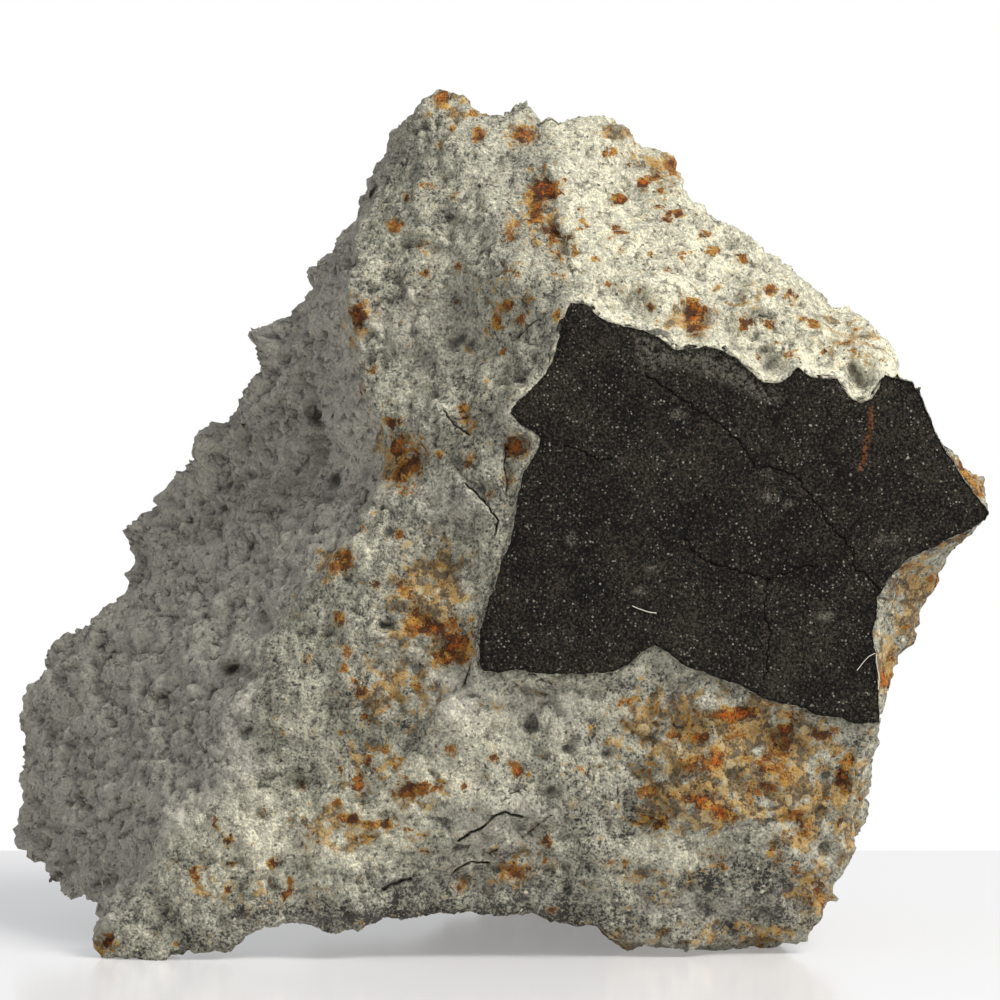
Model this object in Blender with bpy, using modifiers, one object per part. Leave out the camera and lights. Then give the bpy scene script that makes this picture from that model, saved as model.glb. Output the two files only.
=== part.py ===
"""A chondrite meteorite fragment: one broken stone with a patch of fusion crust on its front.

The stone stands on three small flats at z = 0, with +X to the right along its longest side,
+Y to the back and +Z up. Every corner is written as it is seen from the front: a column and a
row of the front view, and a depth behind the stone's middle in millimetres.
"""

import math

import bmesh
import bpy
from mathutils import Matrix, Vector, noise
from mathutils.bvhtree import BVHTree

# Driving dimensions, in metres
STONE_LENGTH = 0.048
CRUST_PROUD = 0.0005
CRUST_ROOT = 0.0020
CRUST_DISTANCE = 0.0124

# The broken surface: the height and spacing of its lumps, ledges and grit
LUMP_HEIGHT = 0.00030
LUMP_SPACING = 0.0050
LUMP_ROUGHNESS = 0.9
LUMP_OCTAVES = 3
LEDGE_HEIGHT = 0.00022
LEDGE_SPACING = 0.0030
LEDGES_IN_SPACING = 3.0
LEDGE_STEEPNESS = 4.0
LEDGE_PLACE = Vector((7.3, 1.9, 4.1))
GRIT_HEIGHT = 0.00020
GRIT_SPACING = 0.0016
GRIT_PLACE = Vector((2.7, 8.8, 0.6))

# How finely the stone is modelled
SKIN_STEP = 0.00040
TRIANGLES = 8300
MERGE_DISTANCE = 0.00001

# The arch of the underside between the foot and the right-hand rest spot
ARCH_CENTRE = (480, 930, -4.0)
ARCH_HEIGHT = 0.0017
ARCH_HALF_WIDTH = 0.0072
ARCH_HALF_DEPTH = 0.0130
ARCH_FADE = 0.0090

# The front view: its left and right edges, the row of the ground at depth 0, and its tilt
LEFT_COLUMN = 18
RIGHT_COLUMN = 985
GROUND_ROW = 936
VIEW_TILT = math.radians(6.0)
SIGHT = Vector((0.0, math.cos(VIEW_TILT), -math.sin(VIEW_TILT)))

# The crust lies in one plane, which faces the front and leans back a little
CRUST_NORMAL = Vector((0.094, -0.991, 0.087)).normalized()
CRUST_CENTRE = (700, 520)

# How the broken surface falls away beside the crust: its slope at the edge, and how deep it goes
RIM_BELOW = (0.2, 0.0002)
RIM_ABOVE = (1.2, 0.0013)
RIM_RIGHT = (1.5, 0.0032)
RIM_LEFT = (0.5, 0.0007)

# Where those stretches of the edge begin and end, from the crust's centre
ABOVE_FROM_TO = (0.0010, 0.0060)
RIGHT_FROM_TO = (0.0075, 0.0095)
LEFT_FROM_TO = (0.0040, 0.0080)
RIM_REACH = 0.0030

PALE_COLOUR = (0.42, 0.39, 0.31, 1.0)
PALE_ROUGHNESS = 0.92
CRUST_COLOUR = (0.030, 0.027, 0.022, 1.0)
CRUST_ROUGHNESS = 0.75

# Convex chunks that make up the block, each by its corners
CHUNKS = {
    "core": [
        (440, 120, 5.0), (600, 122, 6.0), (700, 260, 8.0), (784, 425, 14.0),
        (622, 573, 20.0), (824, 690, 11.0), (824, 790, 12.0), (542, 838, 18.0),
        (300, 655, 19.0), (420, 330, 15.0), (219, 784, 15.0), (892, 592, 3.0),
        (874, 650, 3.0), (864, 730, 2.0), (852, 820, 3.0), (480, 600, 0.0),
    ],
    "crust block": [
        (576, 302, -9.4), (512, 412, -9.8), (494, 560, -10.6), (488, 600, -10.8),
        (876, 598, -8.9), (984, 510, -8.0), (905, 382, -8.0),
        (548, 112, 2.0), (600, 105, 3.5), (636, 140, 3.5), (782, 280, 0.0), (866, 322, -3.0),
        (958, 460, -5.5), (980, 490, -5.8), (962, 530, -5.0), (784, 425, 14.0),
        (622, 573, 20.0), (560, 180, 8.0),
    ],
    "waist block": [
        (490, 590, -10.8), (480, 667, -11.2), (876, 720, -9.4), (876, 592, -8.9),
        (962, 526, -6.6), (942, 556, -4.0), (896, 600, -3.0), (874, 650, -3.0),
        (876, 700, -4.0), (824, 690, 11.0), (784, 500, 13.0), (622, 573, 20.0),
        (500, 600, 5.0),
    ],
    "lower block": [
        (480, 664, -11.2), (852, 726, -9.6), (879, 716, -9.3), (846, 800, -8.8),
        (830, 880, -7.8), (867, 742, -4.0), (861, 790, -3.0), (858, 834, -3.0),
        (830, 904, -5.0), (800, 942, -7.4), (735, 936, -8.8), (660, 942, -9.0),
        (580, 932, -9.2), (440, 920, -9.2), (410, 762, -10.2), (330, 820, -10.2),
        (300, 925, -9.8), (764, 944, -3.8), (716, 946, -3.8), (742, 941, -1.8),
        (824, 790, 12.0), (542, 838, 18.0), (622, 573, 20.0), (616, 908, 14.0),
        (540, 908, 14.0), (580, 911, 12.0), (219, 784, 15.0),
    ],
    "upper left block": [
        (422, 98, 3.0), (460, 100, 3.5), (399, 145, 3.0), (410, 186, 6.0), (375, 258, 8.5),
        (331, 321, 9.5), (281, 356, 10.0), (258, 416, 10.0), (156, 508, 11.0),
        (350, 290, -2.0), (362, 385, -4.0), (402, 462, -6.4), (548, 116, 2.0),
        (562, 292, -8.8), (508, 412, -9.4), (492, 570, -10.2), (450, 600, -9.4),
        (300, 655, 19.0), (622, 573, 20.0), (480, 150, 8.0), (420, 330, 15.0),
    ],
    "lower left block": [
        (402, 462, -6.4), (334, 556, -7.2), (254, 700, -8.2), (170, 822, -9.2),
        (252, 416, 10.0), (150, 528, 11.0), (134, 611, 11.0), (38, 652, 11.0),
        (25, 744, 9.0), (22, 836, 7.0), (42, 884, 2.0), (112, 904, -5.0),
        (492, 540, -9.8), (476, 664, -10.2), (410, 762, -9.6), (470, 440, -7.8),
        (300, 655, 19.0), (219, 784, 15.0), (542, 838, 18.0), (622, 573, 20.0),
        (150, 800, 13.0), (90, 780, 12.0),
    ],
    "foot": [
        (170, 822, -9.2), (254, 704, -8.2), (88, 940, -9.0), (100, 912, -7.0),
        (98, 962, -9.4), (162, 964, -10.2), (150, 958, -8.0), (250, 938, -10.0),
        (330, 918, -9.8), (410, 764, -9.8), (330, 820, -10.3), (112, 902, -4.0),
        (160, 945, -6.0), (300, 850, 0.0),
    ],
}

# Knobs and hollows: the place, the depth there, the reach and the height in millimetres
KNOBS = {
    "first peak": (440, 98, 3.5, 1.6, 0.4),
    "second peak": (527, 112, 3.0, 1.2, 0.7),
    "saddle": (490, 116, 3.0, 1.4, -1.0),
    "notch by the ridge": (546, 124, 2.5, 0.8, -0.4),
    "bump by the crest": (657, 164, 3.0, 1.3, 0.7),
    "left ear": (268, 330, 9.0, 1.5, 1.3),
    "left elbow": (146, 524, 11.0, 1.6, 0.8),
    "dip above the ear": (345, 228, 5.0, 3.4, -0.7),
    "dip below the ear": (222, 398, 9.0, 3.2, -0.8),
    "dip under the elbow": (96, 590, 11.0, 3.0, -1.3),
    "hollow behind the ridge": (300, 450, 2.0, 5.0, -1.8),
    "upper hollow behind the ridge": (335, 370, 1.0, 3.0, -0.9),
    "upper channel": (455, 330, -5.0, 5.0, -0.9),
    "low channel": (440, 560, -8.5, 3.2, -0.5),
    "dip beside the crest": (735, 222, 1.0, 4.0, -0.8),
    "second dip beside the crest": (798, 268, -1.0, 3.5, -0.6),
    "notch under the tip": (893, 672, -3.0, 1.2, -0.5),
}

# The outline of the fusion crust on its plane, by column and row
CRUST_OUTLINE = [
    (571, 306), (587, 308), (594, 317), (605, 324), (623, 329), (641, 333), (655, 338),
    (673, 352), (694, 351), (703, 348), (717, 352), (734, 360), (748, 374), (761, 385),
    (779, 385), (788, 378), (795, 369), (806, 378), (820, 382), (834, 380), (841, 391),
    (849, 401), (859, 405), (870, 401), (877, 389), (882, 376), (891, 380), (909, 384),
    (918, 400), (926, 420), (932, 435), (943, 454), (955, 472), (968, 491), (977, 502),
    (984, 512), (981, 519), (968, 527), (947, 537), (937, 542), (922, 550), (907, 556),
    (895, 567), (887, 575), (878, 590), (873, 596), (873, 619), (868, 632), (871, 646),
    (873, 665), (875, 688), (876, 720), (852, 721), (839, 715), (813, 712), (803, 705),
    (782, 701), (762, 696), (744, 685), (681, 662), (668, 650), (654, 643), (640, 650),
    (625, 664), (611, 670), (571, 671), (537, 671), (516, 666), (502, 670), (485, 668),
    (482, 658), (483, 630), (488, 616), (492, 597), (499, 589), (500, 577), (504, 563),
    (512, 546), (516, 531), (521, 495), (525, 479), (535, 460), (541, 451), (542, 438),
    (534, 431), (521, 424), (512, 413), (514, 408), (534, 390), (548, 374), (555, 361),
    (559, 344), (564, 322),
]


def seen_at(column, row, depth):
    """The point seen at a column and row of the front view, at a depth in millimetres."""
    scale = STONE_LENGTH / (RIGHT_COLUMN - LEFT_COLUMN)
    y = depth / 1000
    x = (column - (LEFT_COLUMN + RIGHT_COLUMN) / 2) * scale
    height = (GROUND_ROW - row) * scale
    z = (height - y * math.sin(VIEW_TILT)) / math.cos(VIEW_TILT)
    return Vector((x, y, z))


def on_crust_plane(column, row):
    """The point of the crust's plane that is seen at a column and row."""
    start = seen_at(column, row, 0.0)
    travel = (CRUST_DISTANCE - CRUST_NORMAL.dot(start)) / CRUST_NORMAL.dot(SIGHT)
    return start + SIGHT * travel


def clear_scene():
    for item in list(bpy.data.objects):
        bpy.data.objects.remove(item, do_unlink=True)


def new_collection(name):
    collection = bpy.data.collections.new(name)
    bpy.context.scene.collection.children.link(collection)
    return collection


def new_material(name, colour, roughness):
    material = bpy.data.materials.new(name)
    material.use_nodes = True
    shader = material.node_tree.nodes["Principled BSDF"]
    shader.inputs["Base Color"].default_value = colour
    shader.inputs["Roughness"].default_value = roughness
    shader.inputs["Metallic"].default_value = 0.0
    return material


def new_object(name, mesh, collection, material):
    mesh.materials.append(material)
    item = bpy.data.objects.new(name, mesh)
    collection.objects.link(item)
    return item


def evaluated_mesh(item):
    """A new mesh of the object as its modifiers leave it."""
    graph = bpy.context.evaluated_depsgraph_get()
    return bpy.data.meshes.new_from_object(item.evaluated_get(graph), depsgraph=graph)


def as_guide(item):
    item.hide_render = True
    item.display_type = "WIRE"


def make_block(collection, material):
    """The bare block: overlapping convex chunks under one skin."""
    mesh = bpy.data.meshes.new("block")
    work = bmesh.new()
    for corners in CHUNKS.values():
        points = [work.verts.new(seen_at(*corner)) for corner in corners]
        hull = bmesh.ops.convex_hull(work, input=points)
        inside = hull["geom_interior"] + hull["geom_unused"]
        spare = {item for item in inside if isinstance(item, bmesh.types.BMVert)}
        bmesh.ops.delete(work, geom=list(spare), context="VERTS")
    bmesh.ops.recalc_face_normals(work, faces=work.faces)
    work.to_mesh(mesh)
    work.free()
    block = new_object("block", mesh, collection, material)
    skin = block.modifiers.new("skin", "REMESH")
    skin.mode = "VOXEL"
    skin.voxel_size = SKIN_STEP
    as_guide(block)
    return block


def ramp(value, low, high):
    """0 below low and 1 above high, with a smooth rise between them."""
    share = min(1.0, max(0.0, (value - low) / (high - low)))
    return share * share * (3.0 - 2.0 * share)


def rim_drop(place, distance):
    """How far the broken surface falls away beside the crust, at a place on the crust's plane."""
    shares = [
        (RIM_RIGHT, ramp(place.x, *RIGHT_FROM_TO)),
        (RIM_ABOVE, ramp(place.y, *ABOVE_FROM_TO)),
        (RIM_LEFT, ramp(-place.x, *LEFT_FROM_TO)),
    ]
    slope, deepest = RIM_BELOW
    for (other_slope, other_deepest), share in shares:
        slope += (other_slope - slope) * share
        deepest += (other_deepest - deepest) * share
    return deepest * (1.0 - math.exp(-slope * distance / deepest))


def arch_lift(place):
    """How far the underside is raised between the foot and the right-hand rest spot."""
    centre = seen_at(*ARCH_CENTRE)
    across = (place.x - centre.x) / ARCH_HALF_WIDTH
    deep = (place.y - centre.y) / ARCH_HALF_DEPTH
    spread = max(0.0, 1.0 - across * across - deep * deep)
    return ARCH_HEIGHT * math.sqrt(spread) * ramp(-place.z, -ARCH_FADE, 0.0)


def relief(point):
    """How far the broken surface stands out at a point: lumps, ledges and grit."""
    lumps = noise.fractal(point / LUMP_SPACING, LUMP_ROUGHNESS, 2.0, LUMP_OCTAVES)
    height = noise.noise(point / LEDGE_SPACING + LEDGE_PLACE) * LEDGES_IN_SPACING
    ledge = math.floor(height)
    ledge += min(1.0, (height - ledge) * LEDGE_STEEPNESS)
    grit = noise.noise(point / GRIT_SPACING + GRIT_PLACE)
    return lumps * LUMP_HEIGHT + ledge * LEDGE_HEIGHT + grit * GRIT_HEIGHT


def sculpt(mesh, crust):
    """Raise the knobs, sink the hollows, roughen the skin and bring it down round the crust."""
    work = bmesh.new()
    work.from_mesh(mesh)
    work.normal_update()
    tree = BVHTree.FromBMesh(work)
    start = [vertex.co.copy() for vertex in work.verts]
    normals = [vertex.normal.copy() for vertex in work.verts]
    for vertex, place, normal in zip(work.verts, start, normals):
        vertex.co = place + normal * relief(place) + Vector((0, 0, arch_lift(place)))
    for column, row, depth, reach, height in KNOBS.values():
        centre, normal, _, _ = tree.find_nearest(seen_at(column, row, depth))
        for vertex, place, facing in zip(work.verts, start, normals):
            share = (place - centre).length * 1000 / reach
            if share < 1.0 and facing.dot(normal) > 0.0:
                vertex.co += normal * (height / 1000 * (1.0 - share * share) ** 2)
    plate = BVHTree.FromObject(crust, bpy.context.evaluated_depsgraph_get())
    to_plate = crust.matrix_world.inverted()
    for vertex in work.verts:
        local = to_plate @ vertex.co
        if local.z > -RIM_REACH:
            nearest = plate.find_nearest(local)[0]
            distance = (local - nearest).to_2d().length
            limit = CRUST_ROOT / 2 - CRUST_PROUD - rim_drop(local, distance)
            limit += relief(vertex.co) * min(1.0, distance / RIM_REACH)
            vertex.co -= CRUST_NORMAL * max(0.0, local.z - limit)
    work.to_mesh(mesh)
    work.free()


def make_crust(collection, material):
    """The fusion crust: a thin plate with its own broken outline, rooted in the block."""
    up = (Vector((0, 0, 1)) - CRUST_NORMAL * CRUST_NORMAL.z).normalized()
    across = up.cross(CRUST_NORMAL)
    centre = on_crust_plane(*CRUST_CENTRE) - CRUST_NORMAL * (CRUST_ROOT / 2)
    curve = bpy.data.curves.new("crust outline", "CURVE")
    curve.dimensions = "2D"
    curve.fill_mode = "BOTH"
    curve.extrude = CRUST_ROOT / 2
    spline = curve.splines.new("POLY")
    spline.points.add(len(CRUST_OUTLINE) - 1)
    for point, place in zip(spline.points, CRUST_OUTLINE):
        offset = on_crust_plane(*place) - centre
        point.co = (offset.dot(across), offset.dot(up), 0.0, 1.0)
    spline.use_cyclic_u = True
    outline = bpy.data.objects.new("crust outline", curve)
    collection.objects.link(outline)
    turn = Matrix((across, up, CRUST_NORMAL)).transposed().to_4x4()
    outline.matrix_world = Matrix.Translation(centre) @ turn
    bpy.context.view_layer.update()
    mesh = evaluated_mesh(outline)
    work = bmesh.new()
    work.from_mesh(mesh)
    bmesh.ops.remove_doubles(work, verts=work.verts, dist=MERGE_DISTANCE)
    bmesh.ops.recalc_face_normals(work, faces=work.faces)
    work.to_mesh(mesh)
    work.free()
    mesh.materials.clear()
    crust = new_object("crust", mesh, collection, material)
    crust.matrix_world = outline.matrix_world
    bpy.data.objects.remove(outline, do_unlink=True)
    as_guide(crust)
    return crust


def make_ground(collection, material):
    """The flat ground that the stone's three rest spots are worn down to."""
    mesh = bpy.data.meshes.new("ground")
    work = bmesh.new()
    bmesh.ops.create_cube(work, size=2 * STONE_LENGTH)
    work.to_mesh(mesh)
    work.free()
    ground = new_object("ground", mesh, collection, material)
    ground.location.z = -STONE_LENGTH
    as_guide(ground)
    return ground


def add_boolean(item, name, operation, other):
    modifier = item.modifiers.new(name, "BOOLEAN")
    modifier.operation = operation
    modifier.object = other
    modifier.material_mode = "TRANSFER"


def centre_on_origin(stone, items):
    """Move everything so that the middle of the stone's box stands over the origin."""
    bpy.context.view_layer.update()
    places = [vertex.co for vertex in evaluated_mesh(stone).vertices]
    middle_x = (min(place.x for place in places) + max(place.x for place in places)) / 2
    middle_y = (min(place.y for place in places) + max(place.y for place in places)) / 2
    for item in items:
        item.location -= Vector((middle_x, middle_y, 0.0))


def make_stone():
    parts = new_collection("chondrite_meteorite")
    guides = new_collection("guides")
    pale = new_material("pale matrix", PALE_COLOUR, PALE_ROUGHNESS)
    dark = new_material("fusion crust", CRUST_COLOUR, CRUST_ROUGHNESS)
    crust = make_crust(guides, dark)
    ground = make_ground(guides, pale)
    block = make_block(guides, pale)
    bpy.context.view_layer.update()
    mesh = evaluated_mesh(block)
    sculpt(mesh, crust)
    mesh.materials.clear()
    stone = new_object("stone", mesh, parts, pale)
    mesh.materials.append(dark)
    facets = stone.modifiers.new("facets", "DECIMATE")
    facets.ratio = TRIANGLES / sum(len(face.vertices) - 2 for face in mesh.polygons)
    add_boolean(stone, "crust", "UNION", crust)
    add_boolean(stone, "rest spots", "DIFFERENCE", ground)
    centre_on_origin(stone, [stone, crust, ground])
    return stone


clear_scene()
make_stone()
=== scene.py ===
import math
from functools import reduce

import bmesh
import bpy
import numpy as np
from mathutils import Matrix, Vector, geometry, kdtree, noise


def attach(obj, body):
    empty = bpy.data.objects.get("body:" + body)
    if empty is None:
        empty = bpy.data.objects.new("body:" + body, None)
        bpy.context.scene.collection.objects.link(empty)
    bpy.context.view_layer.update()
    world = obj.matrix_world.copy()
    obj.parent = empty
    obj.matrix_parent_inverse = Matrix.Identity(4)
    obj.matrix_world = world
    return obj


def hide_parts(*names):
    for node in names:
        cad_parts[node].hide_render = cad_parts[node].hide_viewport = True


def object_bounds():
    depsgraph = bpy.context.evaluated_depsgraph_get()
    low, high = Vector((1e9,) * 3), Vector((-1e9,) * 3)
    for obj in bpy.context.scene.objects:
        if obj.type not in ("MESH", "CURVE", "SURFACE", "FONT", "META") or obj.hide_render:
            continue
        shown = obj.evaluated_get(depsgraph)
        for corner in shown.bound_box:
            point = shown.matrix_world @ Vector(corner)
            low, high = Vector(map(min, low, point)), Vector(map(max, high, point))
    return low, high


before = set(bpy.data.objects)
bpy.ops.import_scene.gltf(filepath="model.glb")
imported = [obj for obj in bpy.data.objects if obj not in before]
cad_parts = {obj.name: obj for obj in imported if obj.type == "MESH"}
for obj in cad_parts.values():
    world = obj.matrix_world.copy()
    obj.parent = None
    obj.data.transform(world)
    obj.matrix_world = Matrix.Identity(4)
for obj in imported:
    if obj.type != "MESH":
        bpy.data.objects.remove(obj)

cad_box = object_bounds()
scene = bpy.context.scene

# Camera
# The stone is seen from the front and six degrees above, through a long lens, so that its
# sides hardly converge. A place on it is a column and a row of this view, and a depth in
# millimetres behind the stone's middle, which is where it is in the frame.
STONE_WIDTH = 0.048
LEFT_COLUMN, RIGHT_COLUMN, GROUND_ROW = 18, 985, 936
VIEW_PIXELS = 1000
VIEW_TILT = math.radians(6.0)
LENS_MM, SENSOR_MM = 800.0, 36.0
SIGHT = Vector((0.0, math.cos(VIEW_TILT), -math.sin(VIEW_TILT)))
MIDDLE = Vector((0.0000352, -0.0044540, 0.0))
PIXEL = STONE_WIDTH / (RIGHT_COLUMN - LEFT_COLUMN)
MIDDLE_COLUMN = (LEFT_COLUMN + RIGHT_COLUMN) / 2


def seen_at(column, row, depth):
    """The point seen at a column and row of the view, at a depth in millimetres."""
    y = depth / 1000
    height = (GROUND_ROW - row) * PIXEL
    z = (height - y * math.sin(VIEW_TILT)) / math.cos(VIEW_TILT)
    return Vector(((column - MIDDLE_COLUMN) * PIXEL, y, z)) + MIDDLE


def column_and_row(points):
    """The column and row at which each point of an array is seen."""
    own = points - np.array(MIDDLE)
    height = own[:, 2] * math.cos(VIEW_TILT) + own[:, 1] * math.sin(VIEW_TILT)
    return np.stack((own[:, 0] / PIXEL + MIDDLE_COLUMN, GROUND_ROW - height / PIXEL), axis=1)


def add_object(name, data):
    item = bpy.data.objects.new(name, data)
    scene.collection.objects.link(item)
    return item


camera_data = bpy.data.cameras.new("camera")
camera_data.lens = LENS_MM
camera_data.sensor_width = SENSOR_MM
camera = add_object("camera", camera_data)
camera_distance = VIEW_PIXELS * PIXEL * LENS_MM / SENSOR_MM
camera.location = seen_at(VIEW_PIXELS / 2, VIEW_PIXELS / 2, 0.0) - SIGHT * camera_distance
camera.rotation_euler = SIGHT.to_track_quat("-Z", "Y").to_euler()
camera_data.clip_start = camera_distance / 10
camera_data.clip_end = camera_distance * 10
scene.camera = camera

# Shape of the broken stone
# The stone was knocked off a larger meteorite, so every side but the crust is a rough break:
# rounded crumbs, plucked pits, thin ledges and a few open cracks. Its form is the solid's own,
# with the facets worn away and the fine break added.
SKIN_STEP = 0.00013
FACET_SMOOTHING = 28
MERGE_DISTANCE = 0.000001

# The skin is thinned where it turns away from the view, then all over
TURNED_AWAY = 0.25
BACK_SHARE = 0.72
STONE_TRIANGLES = 186000

# The break's lumps, terraces, crumbs and creases: how far apart, and how high
LUMP_SIZE, LUMP_HEIGHT = 0.0024, 0.00025
TERRACE_SIZE, TERRACE_HEIGHT, TERRACES, TERRACE_EDGE = 0.0026, 0.00013, 3.0, 4.0
CRUMB_SIZE, CRUMB_HEIGHT = 0.00105, 0.00030
FINE_CRUMB_SIZE, FINE_CRUMB_HEIGHT = 0.00050, 0.00013
CRUMB_WOBBLE = 0.45
CREASE_SIZE, CREASE_DEPTH, CREASE_WIDTH = 0.00110, 0.00026, 0.22
OFFSETS = [Vector((3.1, 7.7, 1.9)), Vector((8.3, 2.2, 5.4)), Vector((6.1, 4.9, 9.8))]

# The noise that bends the crumbs' edges takes its seed from the clock unless it is given one
CRUMB_SEED = 7
noise.seed_set(CRUMB_SEED)

# Chondrules and their empty cups: a seed, how many, from and to what radius, and how high for
# that radius. Each lies within a short way of a random place.
GRAINS = [
    (11, 420, (0.00022, 0.00045), 0.42),
    (12, 520, (0.00022, 0.00055), -0.60),
    (13, 110, (0.00050, 0.00110), -0.36),
]
NEAR_SURFACE = 0.0003

# The crust's plane: which way it faces, how far out it lies, and its outline by column and row
CRUST_NORMAL = Vector((0.094, -0.991, 0.087)).normalized()
CRUST_DISTANCE = 0.0124
CRUST_CENTRE = (700, 520)
CRUST_UP = (Vector((0, 0, 1)) - CRUST_NORMAL * CRUST_NORMAL.z).normalized()
CRUST_ACROSS = CRUST_UP.cross(CRUST_NORMAL)
CRUST_OUTLINE = [
    (571, 306), (587, 308), (594, 317), (605, 324), (623, 329), (641, 333), (655, 338),
    (673, 352), (694, 351), (703, 348), (717, 352), (734, 360), (748, 374), (761, 385),
    (779, 385), (788, 378), (795, 369), (806, 378), (820, 382), (834, 380), (841, 391),
    (849, 401), (859, 405), (870, 401), (877, 389), (882, 376), (891, 380), (909, 384),
    (918, 400), (926, 420), (932, 435), (943, 454), (955, 472), (968, 491), (977, 502),
    (984, 512), (981, 519), (968, 527), (947, 537), (937, 542), (922, 550), (907, 556),
    (895, 567), (887, 575), (878, 590), (873, 596), (873, 619), (868, 632), (871, 646),
    (873, 665), (875, 688), (876, 720), (852, 721), (839, 715), (813, 712), (803, 705),
    (782, 701), (762, 696), (744, 685), (681, 662), (668, 650), (654, 643), (640, 650),
    (625, 664), (611, 670), (571, 671), (537, 671), (516, 666), (502, 670), (485, 668),
    (482, 658), (483, 630), (488, 616), (492, 597), (499, 589), (500, 577), (504, 563),
    (512, 546), (516, 531), (521, 495), (525, 479), (535, 460), (541, 451), (542, 438),
    (534, 431), (521, 424), (512, 413), (514, 408), (534, 390), (548, 374), (555, 361),
    (559, 344), (564, 322),
]

# How far the stone lies below that plane: under the crust, and beside it at its sides and top
UNDER_CRUST = 0.00045
RIM_SIDE, RIM_TOP = 0.00042, 0.00010
TOP_STARTS, TOP_ENDS = 0.0010, 0.0050
RIM_REACH = 0.0009
BED_SLOPE = 0.0003
BED_DEPTH, BED_HALF_WIDTH = 0.0022, 0.02

# How far the feet are pressed flat on the floor, and up to what height
FOOT_WEAR, FOOT_HEIGHT = 0.00012, 0.0008

# Open cracks, by column and row, with half their width and their depth in millimetres
STONE_CRACKS = [
    ([(444, 411), (454, 425), (461, 429), (470, 436)], 0.06, 0.40),
    ([(506, 447), (504, 466), (506, 481), (506, 497)], 0.045, 0.35),
    ([(466, 483), (480, 497), (488, 507), (499, 521), (495, 535)], 0.06, 0.45),
    ([(519, 339), (528, 328), (539, 320)], 0.05, 0.25),
    ([(528, 671), (538, 674), (551, 682)], 0.05, 0.25),
    ([(470, 664), (465, 682)], 0.05, 0.25),
    ([(458, 838), (471, 830), (481, 825), (492, 816), (503, 809), (522, 814)], 0.075, 0.60),
    ([(454, 868), (471, 859), (489, 860)], 0.06, 0.45),
    ([(487, 850), (497, 847)], 0.06, 0.30),
    ([(501, 799), (513, 789), (526, 784)], 0.05, 0.20),
    ([(522, 835), (542, 819), (552, 812)], 0.05, 0.20),
    ([(384, 886), (391, 882), (400, 879), (411, 876)], 0.14, 0.60),
]
CUT_WIDTHS, CUT_MARGIN = 2.5, 0.10
CRACK_ROUNDING = 0.6

# Ledges: a line, how far its near side stands out in millimetres, and over how many pixels
# that fades. The near side is on the left of the line as it is listed. On the other side the
# ledge falls away within the lip's width.
LEDGE_LIP = 3.0
LEDGES = [
    ([(446, 846), (471, 831), (492, 816), (503, 809), (526, 816)], 0.50, 46),
    ([(450, 870), (471, 860), (489, 861), (512, 848)], 0.32, 20),
    ([(372, 892), (391, 883), (411, 877), (424, 872)], 0.40, 16),
    ([(398, 768), (424, 738), (438, 704), (468, 686), (476, 662)], -0.50, 60),
    ([(440, 452), (466, 484), (488, 508), (501, 523), (494, 541)], -0.40, 36),
    ([(438, 404), (454, 426), (472, 438)], -0.25, 22),
    ([(503, 440), (503, 466), (505, 500)], -0.28, 26),
    ([(362, 215), (352, 270), (347, 300), (355, 330), (358, 370), (366, 395), (385, 430),
      (386, 470), (368, 505), (345, 540), (331, 560)], 0.95, 90),
    ([(357, 274), (383, 287), (417, 291), (452, 300)], -0.35, 36),
    ([(366, 377), (400, 372), (436, 384), (462, 392)], -0.35, 40),
    ([(331, 560), (300, 596), (270, 640), (258, 700)], 0.45, 60),
    ([(551, 180), (556, 200), (554, 222), (566, 240), (572, 270)], 0.35, 30),
]

# The right edge of the coarse break on the left, how much rougher that side is, and over how
# many pixels
COARSE_EDGE = [
    (446, 60), (405, 120), (385, 160), (368, 200), (352, 270), (347, 300), (355, 330), (358, 370),
    (366, 395), (385, 430), (386, 470), (368, 505), (345, 540), (331, 560), (292, 600), (266, 645),
    (256, 700), (262, 760), (240, 790), (190, 812), (160, 860), (125, 905), (90, 960),
]
COARSENESS = 0.8
COARSE_FADE = 40.0

# Lumps that stand out and hollows that go in: column, row, half width and half height in
# pixels, and how far out in millimetres
SWELLS = [
    (322, 412, 18, 14, -0.9), (336, 480, 8, 12, -0.8), (233, 487, 20, 8, -0.7),
    (256, 547, 9, 9, -0.8), (241, 668, 18, 7, -0.9), (238, 654, 22, 12, 0.5),
    (368, 498, 6, 13, -0.6), (386, 625, 11, 7, -0.6), (256, 727, 8, 8, -0.5),
    (268, 613, 9, 9, -0.5), (190, 516, 30, 22, 0.6), (282, 350, 26, 20, 0.5),
    (150, 640, 34, 20, 0.5), (110, 720, 36, 26, 0.4), (205, 590, 26, 12, -0.5),
    (300, 505, 22, 12, 0.5), (170, 700, 22, 10, -0.5), (90, 800, 22, 14, -0.5),
    (495, 283, 44, 38, 0.45), (410, 340, 30, 22, 0.35), (415, 250, 30, 16, -0.35),
    (462, 345, 26, 12, -0.35), (450, 500, 52, 32, 0.45), (425, 420, 46, 30, 0.35),
    (440, 575, 30, 20, -0.40), (460, 715, 26, 26, 0.45), (360, 640, 30, 30, 0.35),
    (330, 700, 24, 16, -0.40), (310, 780, 30, 14, -0.35), (505, 800, 40, 12, 0.3),
    (520, 850, 36, 10, -0.35), (620, 850, 60, 20, 0.35), (700, 760, 40, 20, 0.3),
    (640, 770, 18, 12, -0.35), (780, 740, 20, 14, -0.35), (790, 860, 34, 22, 0.35),
    (690, 905, 40, 12, -0.3), (620, 200, 30, 14, -0.3), (700, 260, 40, 16, 0.3),
    (760, 320, 26, 10, -0.3), (640, 290, 30, 12, 0.25),
]

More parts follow.
